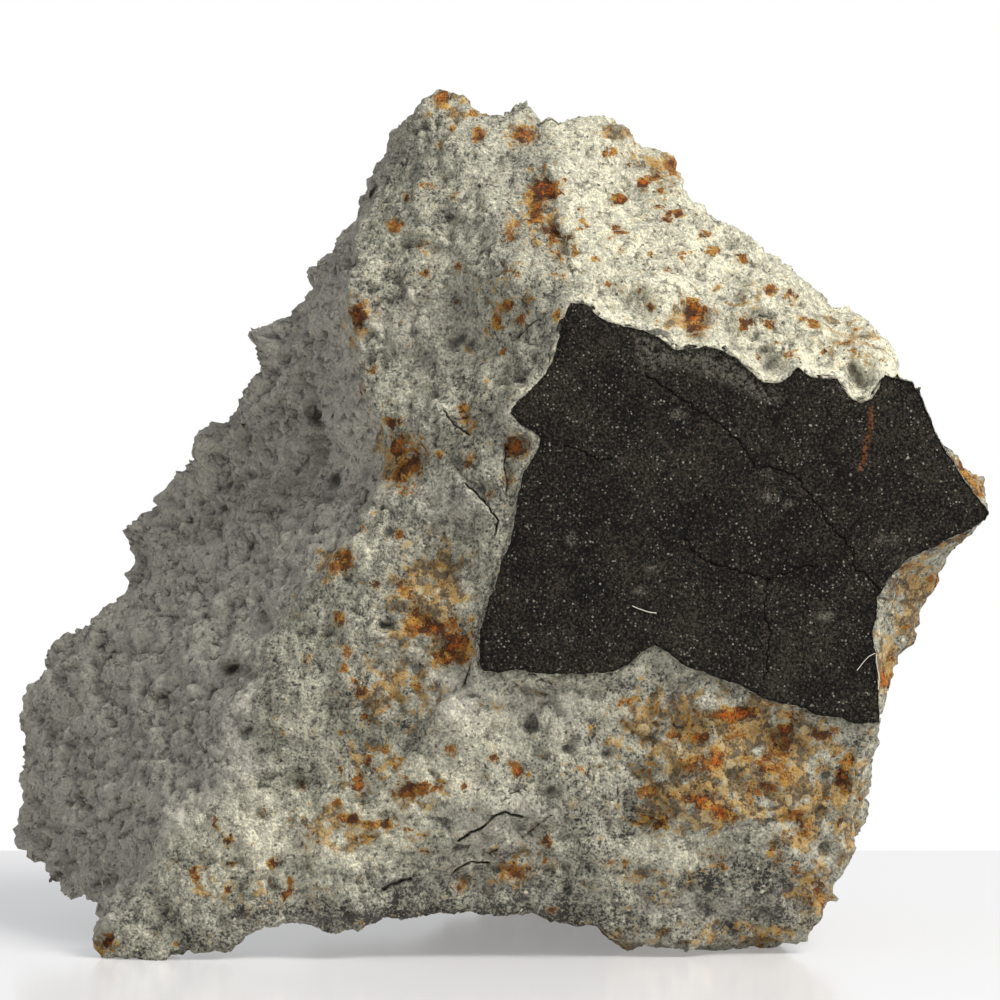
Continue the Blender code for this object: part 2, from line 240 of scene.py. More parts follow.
# Places where the stone's edge is drawn out or in, as seen: column, row and reach in pixels,
# and how far across and down in pixels
EDGE_SHIFTS = [
    (266, 332, 34, -20, -2), (205, 440, 36, -9, -4), (140, 522, 32, -20, 0),
    (126, 578, 20, 8, 0), (20, 745, 56, -13, 0), (302, 282, 20, 9, 0), (50, 655, 20, -6, 0),
    (400, 130, 22, -5, -3), (345, 235, 22, -6, 0), (524, 110, 20, 0, -8), (545, 122, 14, 0, -6),
    (620, 130, 26, 5, -7), (862, 322, 28, 4, -7), (772, 250, 30, -4, 6), (690, 195, 16, -4, 4),
    (905, 380, 20, -6, 5), (926, 400, 24, -11, 3), (942, 432, 22, -9, 2),
    (925, 615, 34, -9, 0), (900, 665, 30, -10, 0), (855, 850, 24, 8, 0), (840, 886, 14, -7, 0),
    (876, 770, 30, -5, 0),
]


def on_crust_plane(column, row):
    """The point of the crust's plane that is seen at a column and row."""
    start = seen_at(column, row, 0.0)
    travel = (CRUST_DISTANCE - CRUST_NORMAL.dot(start - MIDDLE)) / CRUST_NORMAL.dot(SIGHT)
    return start + SIGHT * travel


crust_centre = on_crust_plane(*CRUST_CENTRE)


def flat_place(column, row):
    """Across and up from the crust's centre, of the place on its plane seen there."""
    offset = on_crust_plane(column, row) - crust_centre
    return offset.dot(CRUST_ACROSS), offset.dot(CRUST_UP)


def flat_places(places):
    return np.array([flat_place(*place) for place in places])


def gaps_to_line(points, line, closed=False):
    """For each straight piece of a line, its course and each point's gap and distance from it."""
    line = np.asarray(line, float)
    ends = np.roll(line, -1, axis=0) if closed else line[1:]
    for start, end in zip(line, ends):
        along = end - start
        share = np.clip((points - start) @ along / (along @ along), 0.0, 1.0)
        gap = points - start - share[:, None] * along
        yield along, gap, np.hypot(gap[:, 0], gap[:, 1])


def distance_to_line(points, line, closed=False):
    """How far each point of a flat array is from a line of straight pieces."""
    return reduce(np.minimum, (away for _, _, away in gaps_to_line(points, line, closed)))


def distance_to_lines(points, lines):
    return reduce(np.minimum, (distance_to_line(points, line) for line in lines))


def ragged_line(places, step, jitter, seed, closed=False, scale=2200.0):
    """A flat line cut into short steps, each pushed a little to one side."""
    ends = places[1:] + ([places[0]] if closed else [])
    result = []
    for start, end in zip(places, ends):
        start, end = np.array(start), np.array(end)
        along = end - start
        count = max(1, round(float(np.hypot(*along)) / step))
        side = np.array((-along[1], along[0])) / np.hypot(*along)
        for number in range(count):
            share = number / count
            spot = start + along * share
            push = noise.fractal(Vector((*spot * scale, seed)), 0.8, 2.0, 3)
            result.append(spot + side * push * jitter * math.sin(math.pi * min(1.0, share + 0.3)))
    if not closed:
        result.append(np.array(places[-1]))
    return result


def signed_distance(points, line):
    """How far each point is from a line: above 0 on its upper side as seen, below 0 under it."""
    nearest = np.full(len(points), np.inf)
    side = np.zeros(len(points))
    for along, gap, away in gaps_to_line(points, line):
        turn = along[0] * gap[:, 1] - along[1] * gap[:, 0]
        side = np.where(away < nearest, -np.sign(turn), side)
        nearest = np.minimum(nearest, away)
    return nearest * side


def is_inside(points, outline):
    """Whether each point of a flat array lies inside a closed outline."""
    inside = np.zeros(len(points), bool)
    x, y = points[:, 0], points[:, 1]
    for (x1, y1), (x2, y2) in zip(outline, np.roll(outline, -1, axis=0)):
        crosses = (y1 > y) != (y2 > y)
        with np.errstate(divide="ignore", invalid="ignore"):
            inside ^= crosses & (x < (x2 - x1) * (y - y1) / (y2 - y1) + x1)
    return inside


def depth_inside(points, outline):
    """How far inside a closed outline each point of a flat array is: below 0 outside it."""
    distance = distance_to_line(points, outline, closed=True)
    return np.where(is_inside(points, outline), distance, -distance)


def smooth_step(values, low, high):
    """0 below low and 1 above high, with a smooth rise between them."""
    share = np.clip((values - low) / (high - low), 0.0, 1.0)
    return share * share * (3.0 - 2.0 * share)


def points_of(mesh):
    values = np.empty(len(mesh.vertices) * 3)
    mesh.vertices.foreach_get("co", values)
    return values.reshape(-1, 3)


def normals_of(mesh):
    values = np.empty(len(mesh.vertices) * 3, np.float32)
    mesh.vertices.foreach_get("normal", values)
    return values.reshape(-1, 3).astype(float)


def set_points(mesh, points):
    mesh.vertices.foreach_set("co", points.ravel())
    mesh.update()


def with_modifier(mesh, kind, group=None, **settings):
    """A new mesh: the old one after a modifier, kept to a group of its points if one is given."""
    worked = add_object("worked", mesh)
    modifier = worked.modifiers.new(kind, kind)
    for name, value in settings.items():
        setattr(modifier, name, value)
    if group is not None:
        worked.vertex_groups.new(name="group").add(group.tolist(), 1.0, "REPLACE")
        modifier.vertex_group = "group"
    graph = bpy.context.evaluated_depsgraph_get()
    result = bpy.data.meshes.new_from_object(worked.evaluated_get(graph), depsgraph=graph)
    bpy.data.objects.remove(worked)
    return result


def noise_over(mesh, size, offset, octaves=4, roughness=1.0):
    """Layered noise at each vertex."""
    return np.array([
        noise.fractal(vertex.co / size + offset, roughness, 2.0, octaves)
        for vertex in mesh.vertices
    ])


def cells_over(mesh, size, offset):
    """Distance from the middle of the nearest angular crumb at each vertex, in crumbs."""
    values = []
    for vertex in mesh.vertices:
        spot = vertex.co / size + offset
        spot += noise.noise_vector(spot * 1.6) * CRUMB_WOBBLE
        values.append(noise.noise(spot, noise_basis="VORONOI_F1"))
    return np.array(values) * 0.5 + 0.5


def broken_relief(mesh):
    """How far the break stands out at each vertex: most on the coarse left side."""
    first, second, third = OFFSETS
    height = noise_over(mesh, LUMP_SIZE, first, octaves=6, roughness=0.62) * LUMP_HEIGHT
    steps = noise_over(mesh, TERRACE_SIZE, second, octaves=3) * TERRACES
    level = np.floor(steps)
    rise = np.minimum(1.0, (steps - level) * TERRACE_EDGE)
    height += (level + rise) * TERRACE_HEIGHT / TERRACES
    height -= cells_over(mesh, CRUMB_SIZE, first) ** 2 * CRUMB_HEIGHT
    height -= cells_over(mesh, FINE_CRUMB_SIZE, second) ** 2 * FINE_CRUMB_HEIGHT
    crease = np.abs(noise_over(mesh, CREASE_SIZE, third, octaves=3))
    creased = smooth_step(noise_over(mesh, LUMP_SIZE, third, octaves=2), -0.35, 0.5)
    height -= np.clip(1.0 - crease / CREASE_WIDTH, 0.0, 1.0) * creased * CREASE_DEPTH
    coarse = signed_distance(column_and_row(points_of(mesh)), COARSE_EDGE)
    return height * (1.0 + COARSENESS * smooth_step(-coarse, 0.0, COARSE_FADE))


def tree_of(points):
    tree = kdtree.KDTree(len(points))
    for number, point in enumerate(points):
        tree.insert(point, number)
    tree.balance()
    return tree


def scatter(tree, count, sizes, seed):
    """Random round grains on the surface: which points each covers, and how far across it.

    Random places in the solid's box are kept where the surface is near, so the grains stay
    where they are when the surface's points are counted in another order.
    """
    chance = np.random.default_rng(seed)
    while count:
        spot, reach = chance.uniform(*cad_box), chance.uniform(*sizes)
        middle, _, gap = tree.find(spot)
        if gap > NEAR_SURFACE:
            continue
        count -= 1
        found = tree.find_range(middle, reach)
        numbers = np.array([item[1] for item in found])
        away = np.array([item[2] for item in found]) / reach
        yield numbers, away, reach


def raise_grains(points, normals):
    """Round chondrules that stand out of the break, and the cups that others left."""
    tree = tree_of(points)
    for seed, count, sizes, share in GRAINS:
        for numbers, away, reach in scatter(tree, count, sizes, seed):
            dome = np.sqrt(np.clip(1.0 - away ** 2, 0.0, 1.0))
            points[numbers] += normals[numbers] * (dome * reach * share)[:, None]


def raise_ledges(points, places, facing):
    """Push out the near side of each ledge over what is below it."""
    for line, height, reach in LEDGES:
        away = signed_distance(places, line) * math.copysign(1.0, height)
        share = np.where(away > 0, 1.0 - away / reach, 1.0 + away / LEDGE_LIP)
        share = np.clip(share, 0.0, 1.0) ** 1.5 * facing
        points -= (share * abs(height) / 1000)[:, None] * np.array(SIGHT)


def raise_swells(points, places, facing):
    """Push out each lump, and push in each hollow."""
    for column, row, half_width, half_height, height in SWELLS:
        away = np.hypot((places[:, 0] - column) / half_width, (places[:, 1] - row) / half_height)
        share = (1.0 - smooth_step(away, 0.2, 1.2)) * facing
        points -= (share * height / 1000)[:, None] * np.array(SIGHT)


def shift_edges(points, places):
    """Draw the stone's seen edge out or in."""
    for column, row, reach, across, down in EDGE_SHIFTS:
        away = np.hypot(places[:, 0] - column, places[:, 1] - row) / reach
        share = (1.0 - smooth_step(away, 0.1, 1.2)) * PIXEL
        points[:, 0] += share * across
        points[:, 2] -= share * down


def over_crust_plane(points):
    """How far each point stands out from the crust's plane, and its flat place on the plane."""
    offset = points - np.array(crust_centre)
    flat = np.stack((offset @ np.array(CRUST_ACROSS), offset @ np.array(CRUST_UP)), axis=1)
    return offset @ np.array(CRUST_NORMAL), flat


def bed_for_crust(points, outline):
    """Lower the stone under the crust, and bring it up to the crust's edge beside it."""
    height, flat = over_crust_plane(points)
    near = np.flatnonzero((height > -BED_DEPTH) & (np.abs(flat[:, 0]) < BED_HALF_WIDTH))
    high, place = height[near], flat[near]
    inside = depth_inside(place, outline)
    rim = RIM_SIDE + (RIM_TOP - RIM_SIDE) * smooth_step(place[:, 1], TOP_STARTS, TOP_ENDS)
    wanted = np.where(inside > 0, -UNDER_CRUST - np.minimum(inside, BED_SLOPE), -rim)
    share = np.where(inside > 0, 1.0, 1.0 - smooth_step(-inside, 0.0, RIM_REACH))
    moved = high + (wanted - high) * share
    moved = np.where(inside > 0, np.minimum(moved, wanted), moved)
    points[near] += (moved - high)[:, None] * np.array(CRUST_NORMAL)


outline_flat = flat_places(CRUST_OUTLINE)
start_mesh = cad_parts["stone"].data.copy()
work = bmesh.new()
work.from_mesh(start_mesh)
bmesh.ops.remove_doubles(work, verts=work.verts, dist=MERGE_DISTANCE)
work.to_mesh(start_mesh)
work.free()
skin_mesh = with_modifier(start_mesh, "REMESH", mode="VOXEL", voxel_size=SKIN_STEP)
skin_points = points_of(skin_mesh)
bed_for_crust(skin_points, outline_flat)
set_points(skin_mesh, skin_points)
smooth_mesh = with_modifier(skin_mesh, "SMOOTH", factor=0.5, iterations=FACET_SMOOTHING)
skin_normals = normals_of(smooth_mesh)
rough_points = points_of(smooth_mesh) + skin_normals * broken_relief(smooth_mesh)[:, None]
raise_grains(rough_points, skin_normals)
seen_places = column_and_row(rough_points)
facing = smooth_step(-(skin_normals @ np.array(SIGHT)), 0.05, 0.30)
raise_ledges(rough_points, seen_places, facing)
raise_swells(rough_points, seen_places, facing)
shift_edges(rough_points, seen_places)
bed_for_crust(rough_points, outline_flat)
rough_points[:, 2] -= FOOT_WEAR * np.exp(-rough_points[:, 2] / FOOT_HEIGHT)
rough_points[:, 2] = np.maximum(rough_points[:, 2], 0.0)
set_points(smooth_mesh, rough_points)
turned_away = np.flatnonzero(normals_of(smooth_mesh)[:, 1] > TURNED_AWAY)
thinned_mesh = with_modifier(smooth_mesh, "DECIMATE", turned_away, ratio=BACK_SHARE)
triangles = sum(len(face.vertices) - 2 for face in thinned_mesh.polygons)
stone_mesh = with_modifier(thinned_mesh, "DECIMATE", ratio=STONE_TRIANGLES / triangles)


def facing_view(mesh):
    """How squarely each vertex faces the view: 1 is straight on, and below 0 is hidden."""
    return -(normals_of(mesh) @ np.array(SIGHT))


def crack_away(places, line):
    """How far each place is from the middle of a crack, in millimetres."""
    return distance_to_line(places, line) * PIXEL * 1000


def cut_cracks(mesh, cracks):
    """Divide the faces along the cracks finely, then sink the cracks into them."""
    work = bmesh.new()
    work.from_mesh(mesh)
    for _ in range(2):
        work.verts.index_update()
        places = column_and_row(np.array([vertex.co for vertex in work.verts]))
        near = np.zeros(len(places), bool)
        for line, half_width, _ in cracks:
            near |= crack_away(places, line) < half_width * CUT_WIDTHS + CUT_MARGIN
        edges = [
            edge for edge in work.edges
            if near[edge.verts[0].index] and near[edge.verts[1].index]
            and edge.verts[0].normal.dot(SIGHT) < 0.1
        ]
        bmesh.ops.subdivide_edges(work, edges=edges, cuts=1, use_grid_fill=True)
        bmesh.ops.triangulate(work, faces=[face for face in work.faces if len(face.verts) > 3])
    work.normal_update()
    work.to_mesh(mesh)
    work.free()
    points = points_of(mesh)
    places = column_and_row(points)
    front = smooth_step(facing_view(mesh), 0.05, 0.25)
    for line, half_width, depth in cracks:
        gap = crack_away(places, line) / half_width
        sink = np.clip(1.0 - gap, 0.0, 1.0) ** CRACK_ROUNDING * depth / 1000 * front
        points += sink[:, None] * np.array(SIGHT)
    set_points(mesh, points)


STONE_CRACKS = [
    (ragged_line(line, 3.0, 2.2, number, scale=0.11), half_width, depth)
    for number, (line, half_width, depth) in enumerate(STONE_CRACKS)
]
cut_cracks(stone_mesh, STONE_CRACKS)
stone_mesh.validate()
stone_mesh.shade_smooth()
stone = add_object("broken_stone", stone_mesh)

# Colour of the broken stone
# Fresh ordinary chondrite: cream and grey grains a tenth to a third of a millimetre across,
# round grey chondrules, dark specks, and iron grains that have rusted orange and brown.
# Painted shade darkens its cracks, its hollows, the gaps between its crumbs and its underside.


def feed(tree, node, inputs):
    """Set a node's inputs: each is a plain value, or the output that feeds it."""
    for place, value in inputs.items():
        if isinstance(value, bpy.types.NodeSocket):
            tree.links.new(value, node.inputs[place])
        else:
            node.inputs[place].default_value = value
    return node


def add_node(tree, kind, inputs, **settings):
    node = tree.nodes.new("ShaderNode" + kind)
    for name, value in settings.items():
        setattr(node, name, value)
    return feed(tree, node, inputs)


def noise_node(tree, place, size, detail=3.0, roughness=0.6):
    node = add_node(
        tree, "TexNoise",
        {"Vector": place, "Scale": 1.0 / size, "Detail": detail, "Roughness": roughness},
    )
    return node.outputs["Fac"]


def step_node(tree, value, low, high, start=0.0, end=1.0):
    """A smooth rise from start to end as the value goes from low to high."""
    node = add_node(
        tree, "MapRange",
        {"Value": value, "From Min": low, "From Max": high, "To Min": start, "To Max": end},
        interpolation_type="SMOOTHSTEP",
    )
    return node.outputs["Result"]


def math_node(tree, operation, *values):
    node = add_node(tree, "Math", dict(enumerate(values)), operation=operation)
    return node.outputs["Value"]


def vector_node(tree, operation, first, second):
    other = "Scale" if operation == "SCALE" else 1
    node = add_node(tree, "VectorMath", {0: first, other: second}, operation=operation)
    return node.outputs["Vector"]


def mix_node(tree, share, first, second):
    return add_node(tree, "Mix", {0: share, 6: first, 7: second}, data_type="RGBA").outputs[2]


def ramp_node(tree, value, low, high, first, second, most=1.0):
    """The first colour, that turns into the second as the value goes from low to high."""
    return mix_node(tree, step_node(tree, value, low, high, 0.0, most), first, second)


def attribute_node(tree, name):
    return add_node(tree, "Attribute", {}, attribute_name=name).outputs["Fac"]


def new_group(name, values, outputs):
    """A node group that takes a place and some values, and gives each output of its kind."""
    group = bpy.data.node_groups.new(name, "ShaderNodeTree")
    sockets = group.interface
    sockets.new_socket("Place", in_out="INPUT", socket_type="NodeSocketVector")
    for label, value in values.items():
        socket = sockets.new_socket(label, in_out="INPUT", socket_type="NodeSocketFloat")
        socket.default_value = value
    for label, kind in outputs.items():
        sockets.new_socket(label, in_out="OUTPUT", socket_type="NodeSocket" + kind)
    return group, group.nodes.new("NodeGroupInput"), group.nodes.new("NodeGroupOutput")


def place_group(tree, group, **inputs):
    node = tree.nodes.new("ShaderNodeGroup")
    node.node_tree = group
    return feed(tree, node, inputs)


def make_specks():
    """Scattered grains: only some cells hold one, each with its own size and tone."""
    tree, start, end = new_group(
        "specks",
        {"Spacing": 0.001, "Share": 0.5, "Size": 0.3, "Ragged": 0.2, "Softness": 0.08},
        {"Mask": "Float", "Tone": "Float", "Inside": "Float"},
    )
    scale = math_node(tree, "DIVIDE", 1.0, start.outputs["Spacing"])
    scaled = vector_node(tree, "SCALE", start.outputs["Place"], scale)
    wobble = add_node(
        tree, "TexNoise", {"Vector": scaled, "Scale": 3.0, "Detail": 3.0, "Roughness": 0.65},
    ).outputs["Color"]
    centred = vector_node(tree, "SUBTRACT", wobble, (0.5, 0.5, 0.5))
    pushed = vector_node(tree, "SCALE", centred, start.outputs["Ragged"])
    place = vector_node(tree, "ADD", scaled, pushed)
    cells = add_node(tree, "TexVoronoi", {"Vector": place, "Scale": 1.0})
    parts = add_node(tree, "SeparateColor", {"Color": cells.outputs["Color"]})
    held = math_node(tree, "LESS_THAN", parts.outputs["Red"], start.outputs["Share"])
    own_size = math_node(tree, "MULTIPLY_ADD", parts.outputs["Green"], 0.8, 0.6)
    radius = math_node(tree, "MULTIPLY", own_size, start.outputs["Size"])
    inner = math_node(tree, "SUBTRACT", radius, start.outputs["Softness"])
    covered = step_node(tree, cells.outputs["Distance"], radius, inner)
    mask = math_node(tree, "MULTIPLY", covered, held)
    inside = math_node(tree, "DIVIDE", cells.outputs["Distance"], radius)
    feed(tree, end, {"Mask": mask, "Tone": parts.outputs["Blue"], "Inside": inside})
    return tree


specks = make_specks()

CREAM = (0.74, 0.70, 0.53, 1.0)
PALE_GREY = (0.43, 0.415, 0.325, 1.0)
MID_GREY = (0.25, 0.24, 0.190, 1.0)
DARK_GREY = (0.045, 0.042, 0.036, 1.0)
DUSTY_GREY = (0.475, 0.440, 0.385, 1.0)
TAN = (0.45, 0.335, 0.155, 1.0)
AMBER = (0.40, 0.225, 0.050, 1.0)
ORANGE = (0.25, 0.100, 0.020, 1.0)
RED_BROWN = (0.085, 0.034, 0.014, 1.0)
DEEP_ORANGE = (0.40, 0.095, 0.008, 1.0)
OCHRE_BROWN = (0.100, 0.058, 0.020, 1.0)
# The colour of the painted shade inside open cracks
CRACK_SHADE = (0.018, 0.016, 0.014, 1.0)

# How far apart the colour's patches are, from ragged stains down to fine grains
STAIN_SIZE, GRAIN_SIZE, FINE_GRAIN_SIZE = 0.00066, 0.00026, 0.00013
CRUMB_SPACING, SPECK_SPACING = 0.00044, 0.00030

# How strongly the grains, fine grains and crumbs show in the break's lightness, and how ragged
# its ochre and its rust are, and how much the grains break them up
GRAIN_CONTRAST, FINE_CONTRAST, CRUMB_CONTRAST = 1.15, 0.75, 0.16
OCHRE_RAGGED, OCHRE_GRAINY = 2.0, 1.0
RUST_RAGGED, RUST_GRAINY = 2.1, 1.5

# The tones of the break from dark to light, of its ochre wash and of its rust: from and to
# what value each next colour comes in
STONE_TONES = [(0.04, 0.18, MID_GREY), (0.25, 0.42, PALE_GREY), (0.52, 0.70, CREAM)]
WASH_TONES = [(0.36, 0.66, AMBER), (0.80, 0.96, TAN)]
RUST_TONES = [(0.30, 0.50, ORANGE), (0.74, 0.92, AMBER)]


def centred_node(tree, value, weight, added):
    """The value about its middle, times a weight, plus what is added."""
    offset = math_node(tree, "SUBTRACT", value, 0.5)
    return math_node(tree, "MULTIPLY_ADD", offset, weight, added)


def tones_node(tree, value, colour, tones):
    """A colour that turns into the next tone, and the next, as the value rises."""
    for low, high, tone in tones:
        colour = ramp_node(tree, value, low, high, colour, tone)
    return colour


def make_chondrite():
    """The broken chondrite's colour and fine height, from its place and how it is stained, with painted
    shade in the gaps between its crumbs.
    """
    tree, start, end = new_group(
        "chondrite", {"Rust": 0.0, "Ochre": 0.0, "Pale": 0.5, "Dusty": 0.0},
        {"Colour": "Color", "Height": "Float"},
    )
    place = start.outputs["Place"]
    dusty = start.outputs["Dusty"]
    grain = noise_node(tree, place, GRAIN_SIZE, detail=4.0, roughness=0.66)
    fine = noise_node(tree, place, FINE_GRAIN_SIZE, detail=2.0)
    ragged = noise_node(tree, place, STAIN_SIZE, detail=5.0, roughness=0.72)
    crumbs = place_group(
        tree, specks, Place=place, Spacing=CRUMB_SPACING, Share=1.0, Size=1.0, Ragged=1.0,
        Softness=0.1,
    )
    lightness = centred_node(tree, grain, GRAIN_CONTRAST, start.outputs["Pale"])
    lightness = centred_node(tree, fine, FINE_CONTRAST, lightness)
    lightness = centred_node(tree, crumbs.outputs["Tone"], CRUMB_CONTRAST, lightness)
    colour = tones_node(tree, lightness, DARK_GREY, STONE_TONES)
    colour = mix_node(tree, math_node(tree, "MULTIPLY", dusty, 0.6), colour, DUSTY_GREY)
    grains = place_group(
        tree, specks, Place=place, Spacing=SPECK_SPACING, Share=0.45, Size=0.26, Ragged=0.8,
        Softness=0.09,
    )
    shown = math_node(tree, "MULTIPLY_ADD", dusty, -0.25, 0.80)
    shown = math_node(tree, "MULTIPLY", grains.outputs["Mask"], shown)
    grain_colour = ramp_node(tree, grains.outputs["Tone"], 0.66, 0.70, DARK_GREY, CREAM)
    colour = mix_node(tree, shown, colour, grain_colour)
    # Painted shade in the gaps between the crumbs, where the crumbs' edges sink
    colour = ramp_node(tree, crumbs.outputs["Inside"], 0.78, 1.10, colour, DARK_GREY, 0.60)
    ochre = centred_node(tree, ragged, OCHRE_RAGGED, start.outputs["Ochre"])
    ochre = centred_node(tree, grain, OCHRE_GRAINY, ochre)
    tone = centred_node(tree, grain, 1.6, crumbs.outputs["Tone"])
    wash = tones_node(tree, tone, OCHRE_BROWN, WASH_TONES)
    colour = ramp_node(tree, ochre, 0.36, 0.66, colour, wash, 0.8)
    rust = centred_node(tree, ragged, RUST_RAGGED, start.outputs["Rust"])
    rust = centred_node(tree, grain, RUST_GRAINY, rust)
    colour = ramp_node(tree, rust, 0.26, 0.50, colour, TAN, 0.45)
    rusty = tones_node(tree, tone, RED_BROWN, RUST_TONES)
    rusty = ramp_node(tree, rust, 0.98, 1.20, rusty, DEEP_ORANGE)
    rusty = ramp_node(tree, fine, 0.46, 0.36, rusty, RED_BROWN)
    colour = ramp_node(tree, rust, 0.46, 0.60, colour, rusty)
    height = centred_node(tree, grain, 0.9, 0.0)
    height = math_node(tree, "MULTIPLY_ADD", crumbs.outputs["Inside"], -0.50, height)
    height = centred_node(tree, fine, 0.30, height)
    feed(tree, end, {"Colour": colour, "Height": height})
    return tree


chondrite = make_chondrite()

# Rust spots and grey chondrules strewn over the whole stone: how many, and their radii
RUST_SPOTS, RUST_SIZES = 700, (0.00022, 0.00075)
GREY_SPOTS, GREY_SIZES = 700, (0.00020, 0.00050)

# How dusty the coarse left side and the unseen back are, and over how many pixels the edges of
# the dusty side and of the clean break fade and wander
LEFT_DUSTY, BACK_DUSTY = 0.9, 0.35
DUSTY_FADE, DUSTY_RAGGED, PALE_RAGGED = 16.0, 9.0, 8.0

# How pale the break is, and how much paler where it is clean
BREAK_PALE, CLEAN_PALE = 0.33, 0.23

# How far apart the noise is that mottles the stone and frays its stains and cracks
MOTTLE_SIZE, SHADE_SIZE = 0.0011, 0.0016
OCHRE_FRAY_SIZE, RUST_FRAY_SIZE, CRACK_FRAY_SIZE = 0.0005, 0.0008, 0.0007

# The outline of the clean pale break on the upper right
PALE_BREAK = [
    (548, 100), (620, 100), (700, 170), (820, 270), (920, 370), (885, 415), (790, 400),
    (700, 370), (580, 320), (571, 300), (566, 250), (554, 222), (551, 180), (545, 130),
]

# Marks by column, row, half width and half height in pixels, and strength: smooth grey slabs,
# rust, ochre, and paler or darker places; the darker places along the bottom are painted shade
# on the underside.
SMOOTH_SLABS = [
    (460, 695, 30, 40, 0.6), (500, 888, 140, 22, 0.25), (265, 925, 140, 14, 0.25),
    (500, 820, 60, 30, 0.5), (450, 500, 56, 32, 0.45), (700, 905, 90, 20, 0.4), (820, 870, 30, 40, 0.4),
    (540, 700, 60, 20, 0.4), (430, 330, 50, 40, 0.3), (672, 938, 70, 14, 0.3), (480, 850, 40, 16, 0.5),
]

RUST_STAINS = [
    (459, 648, 20, 20, 1.0), (448, 658, 14, 10, 1.0), (430, 628, 26, 7, 0.8), (734, 712, 22, 9, 1.0),
    (724, 812, 18, 11, 0.7), (647, 789, 11, 7, 0.8), (841, 775, 10, 16, 0.8), (792, 812, 8, 8, 0.7),
    (511, 868, 20, 17, 0.55), (545, 840, 9, 9, 0.7), (494, 757, 6, 7, 0.9), (518, 768, 9, 6, 0.9),
    (350, 816, 16, 6, 0.8), (378, 822, 14, 6, 0.8), (363, 836, 14, 5, 0.7), (415, 788, 22, 9, 0.7),
    (273, 861, 7, 6, 0.9), (216, 821, 8, 7, 0.7), (287, 893, 8, 6, 0.7), (264, 811, 8, 6, 0.6),
    (104, 940, 12, 12, 0.6), (357, 315, 12, 16, 0.8), (363, 390, 8, 14, 0.8), (389, 422, 13, 5, 0.9),
    (400, 445, 14, 14, 0.75), (408, 472, 14, 16, 0.75), (344, 560, 15, 13, 0.7), (399, 533, 6, 7, 0.8),
    (516, 447, 13, 14, 1.0), (440, 455, 7, 5, 0.9), (490, 494, 6, 7, 0.7), (508, 306, 7, 7, 0.7),
    (497, 323, 7, 10, 1.0), (520, 322, 7, 7, 0.7), (558, 314, 5, 8, 0.8), (546, 191, 19, 10, 1.0),
    (535, 214, 8, 13, 1.0), (553, 236, 8, 11, 0.8), (524, 136, 13, 12, 0.7), (478, 136, 9, 8, 0.8),
    (472, 113, 7, 6, 0.8), (442, 102, 8, 13, 0.7), (407, 198, 8, 6, 0.7), (393, 226, 10, 8, 0.9),
    (644, 182, 8, 7, 0.9), (619, 200, 9, 7, 0.9), (610, 152, 9, 7, 0.7), (671, 165, 14, 12, 0.55),
    (666, 220, 7, 6, 0.7), (677, 214, 6, 5, 0.8), (703, 235, 8, 5, 0.6), (713, 252, 8, 6, 0.9),
    (741, 260, 7, 6, 0.9), (769, 291, 8, 8, 0.8), (580, 211, 5, 4, 0.7), (692, 322, 13, 14, 0.8),
    (648, 308, 6, 5, 0.8), (743, 324, 9, 8, 0.7), (660, 200, 12, 14, 0.35), (962, 470, 14, 16, 0.6),
    (978, 490, 8, 10, 0.6), (884, 680, 8, 12, 0.7), (770, 760, 22, 12, 0.45), (700, 760, 22, 12, 0.45),
    (812, 900, 14, 18, 0.55), (760, 935, 30, 8, 0.45), (560, 255, 8, 10, 0.5), (87, 792, 5, 6, 0.7),
    (412, 466, 18, 30, 0.6), (415, 625, 12, 14, 0.6), (403, 592, 10, 8, 0.6), (378, 584, 8, 9, 0.6),
    (346, 666, 5, 7, 0.7), (378, 747, 14, 6, 0.6), (366, 715, 10, 6, 0.55), (346, 731, 7, 5, 0.6),
    (814, 889, 9, 14, 0.7), (800, 832, 12, 14, 0.6), (822, 926, 10, 12, 0.6), (709, 852, 14, 8, 0.5),
    (624, 862, 9, 8, 0.45), (655, 820, 20, 10, 0.6), (645, 768, 16, 8, 0.55), (690, 735, 30, 8, 0.6),
    (780, 740, 22, 10, 0.55), (750, 790, 26, 10, 0.55), (700, 800, 16, 10, 0.6),
    (826, 735, 10, 14, 0.5), (630, 700, 14, 6, 0.5), (512, 760, 8, 5, 0.6), (425, 850, 8, 5, 0.7),
    (232, 862, 9, 5, 0.6), (322, 886, 9, 4, 0.6), (196, 872, 6, 9, 0.5), (415, 835, 10, 5, 0.6),
    (340, 800, 7, 7, 0.6), (452, 130, 8, 5, 0.5), (423, 246, 6, 5, 0.5), (405, 330, 6, 5, 0.5),
    (455, 225, 5, 6, 0.5), (486, 380, 5, 5, 0.6), (470, 353, 5, 5, 0.5), (425, 275, 5, 5, 0.5),
    (596, 260, 5, 4, 0.5), (618, 232, 12, 8, 0.5), (640, 215, 6, 5, 0.5), (745, 210, 6, 4, 0.5),
    (680, 255, 6, 4, 0.5), (610, 285, 7, 4, 0.5), (800, 320, 8, 5, 0.5), (860, 355, 8, 6, 0.5),
    (824, 352, 6, 5, 0.5), (898, 392, 6, 5, 0.5), (650, 255, 6, 5, 0.45), (715, 290, 6, 5, 0.45),
    (776, 345, 6, 4, 0.5),
]
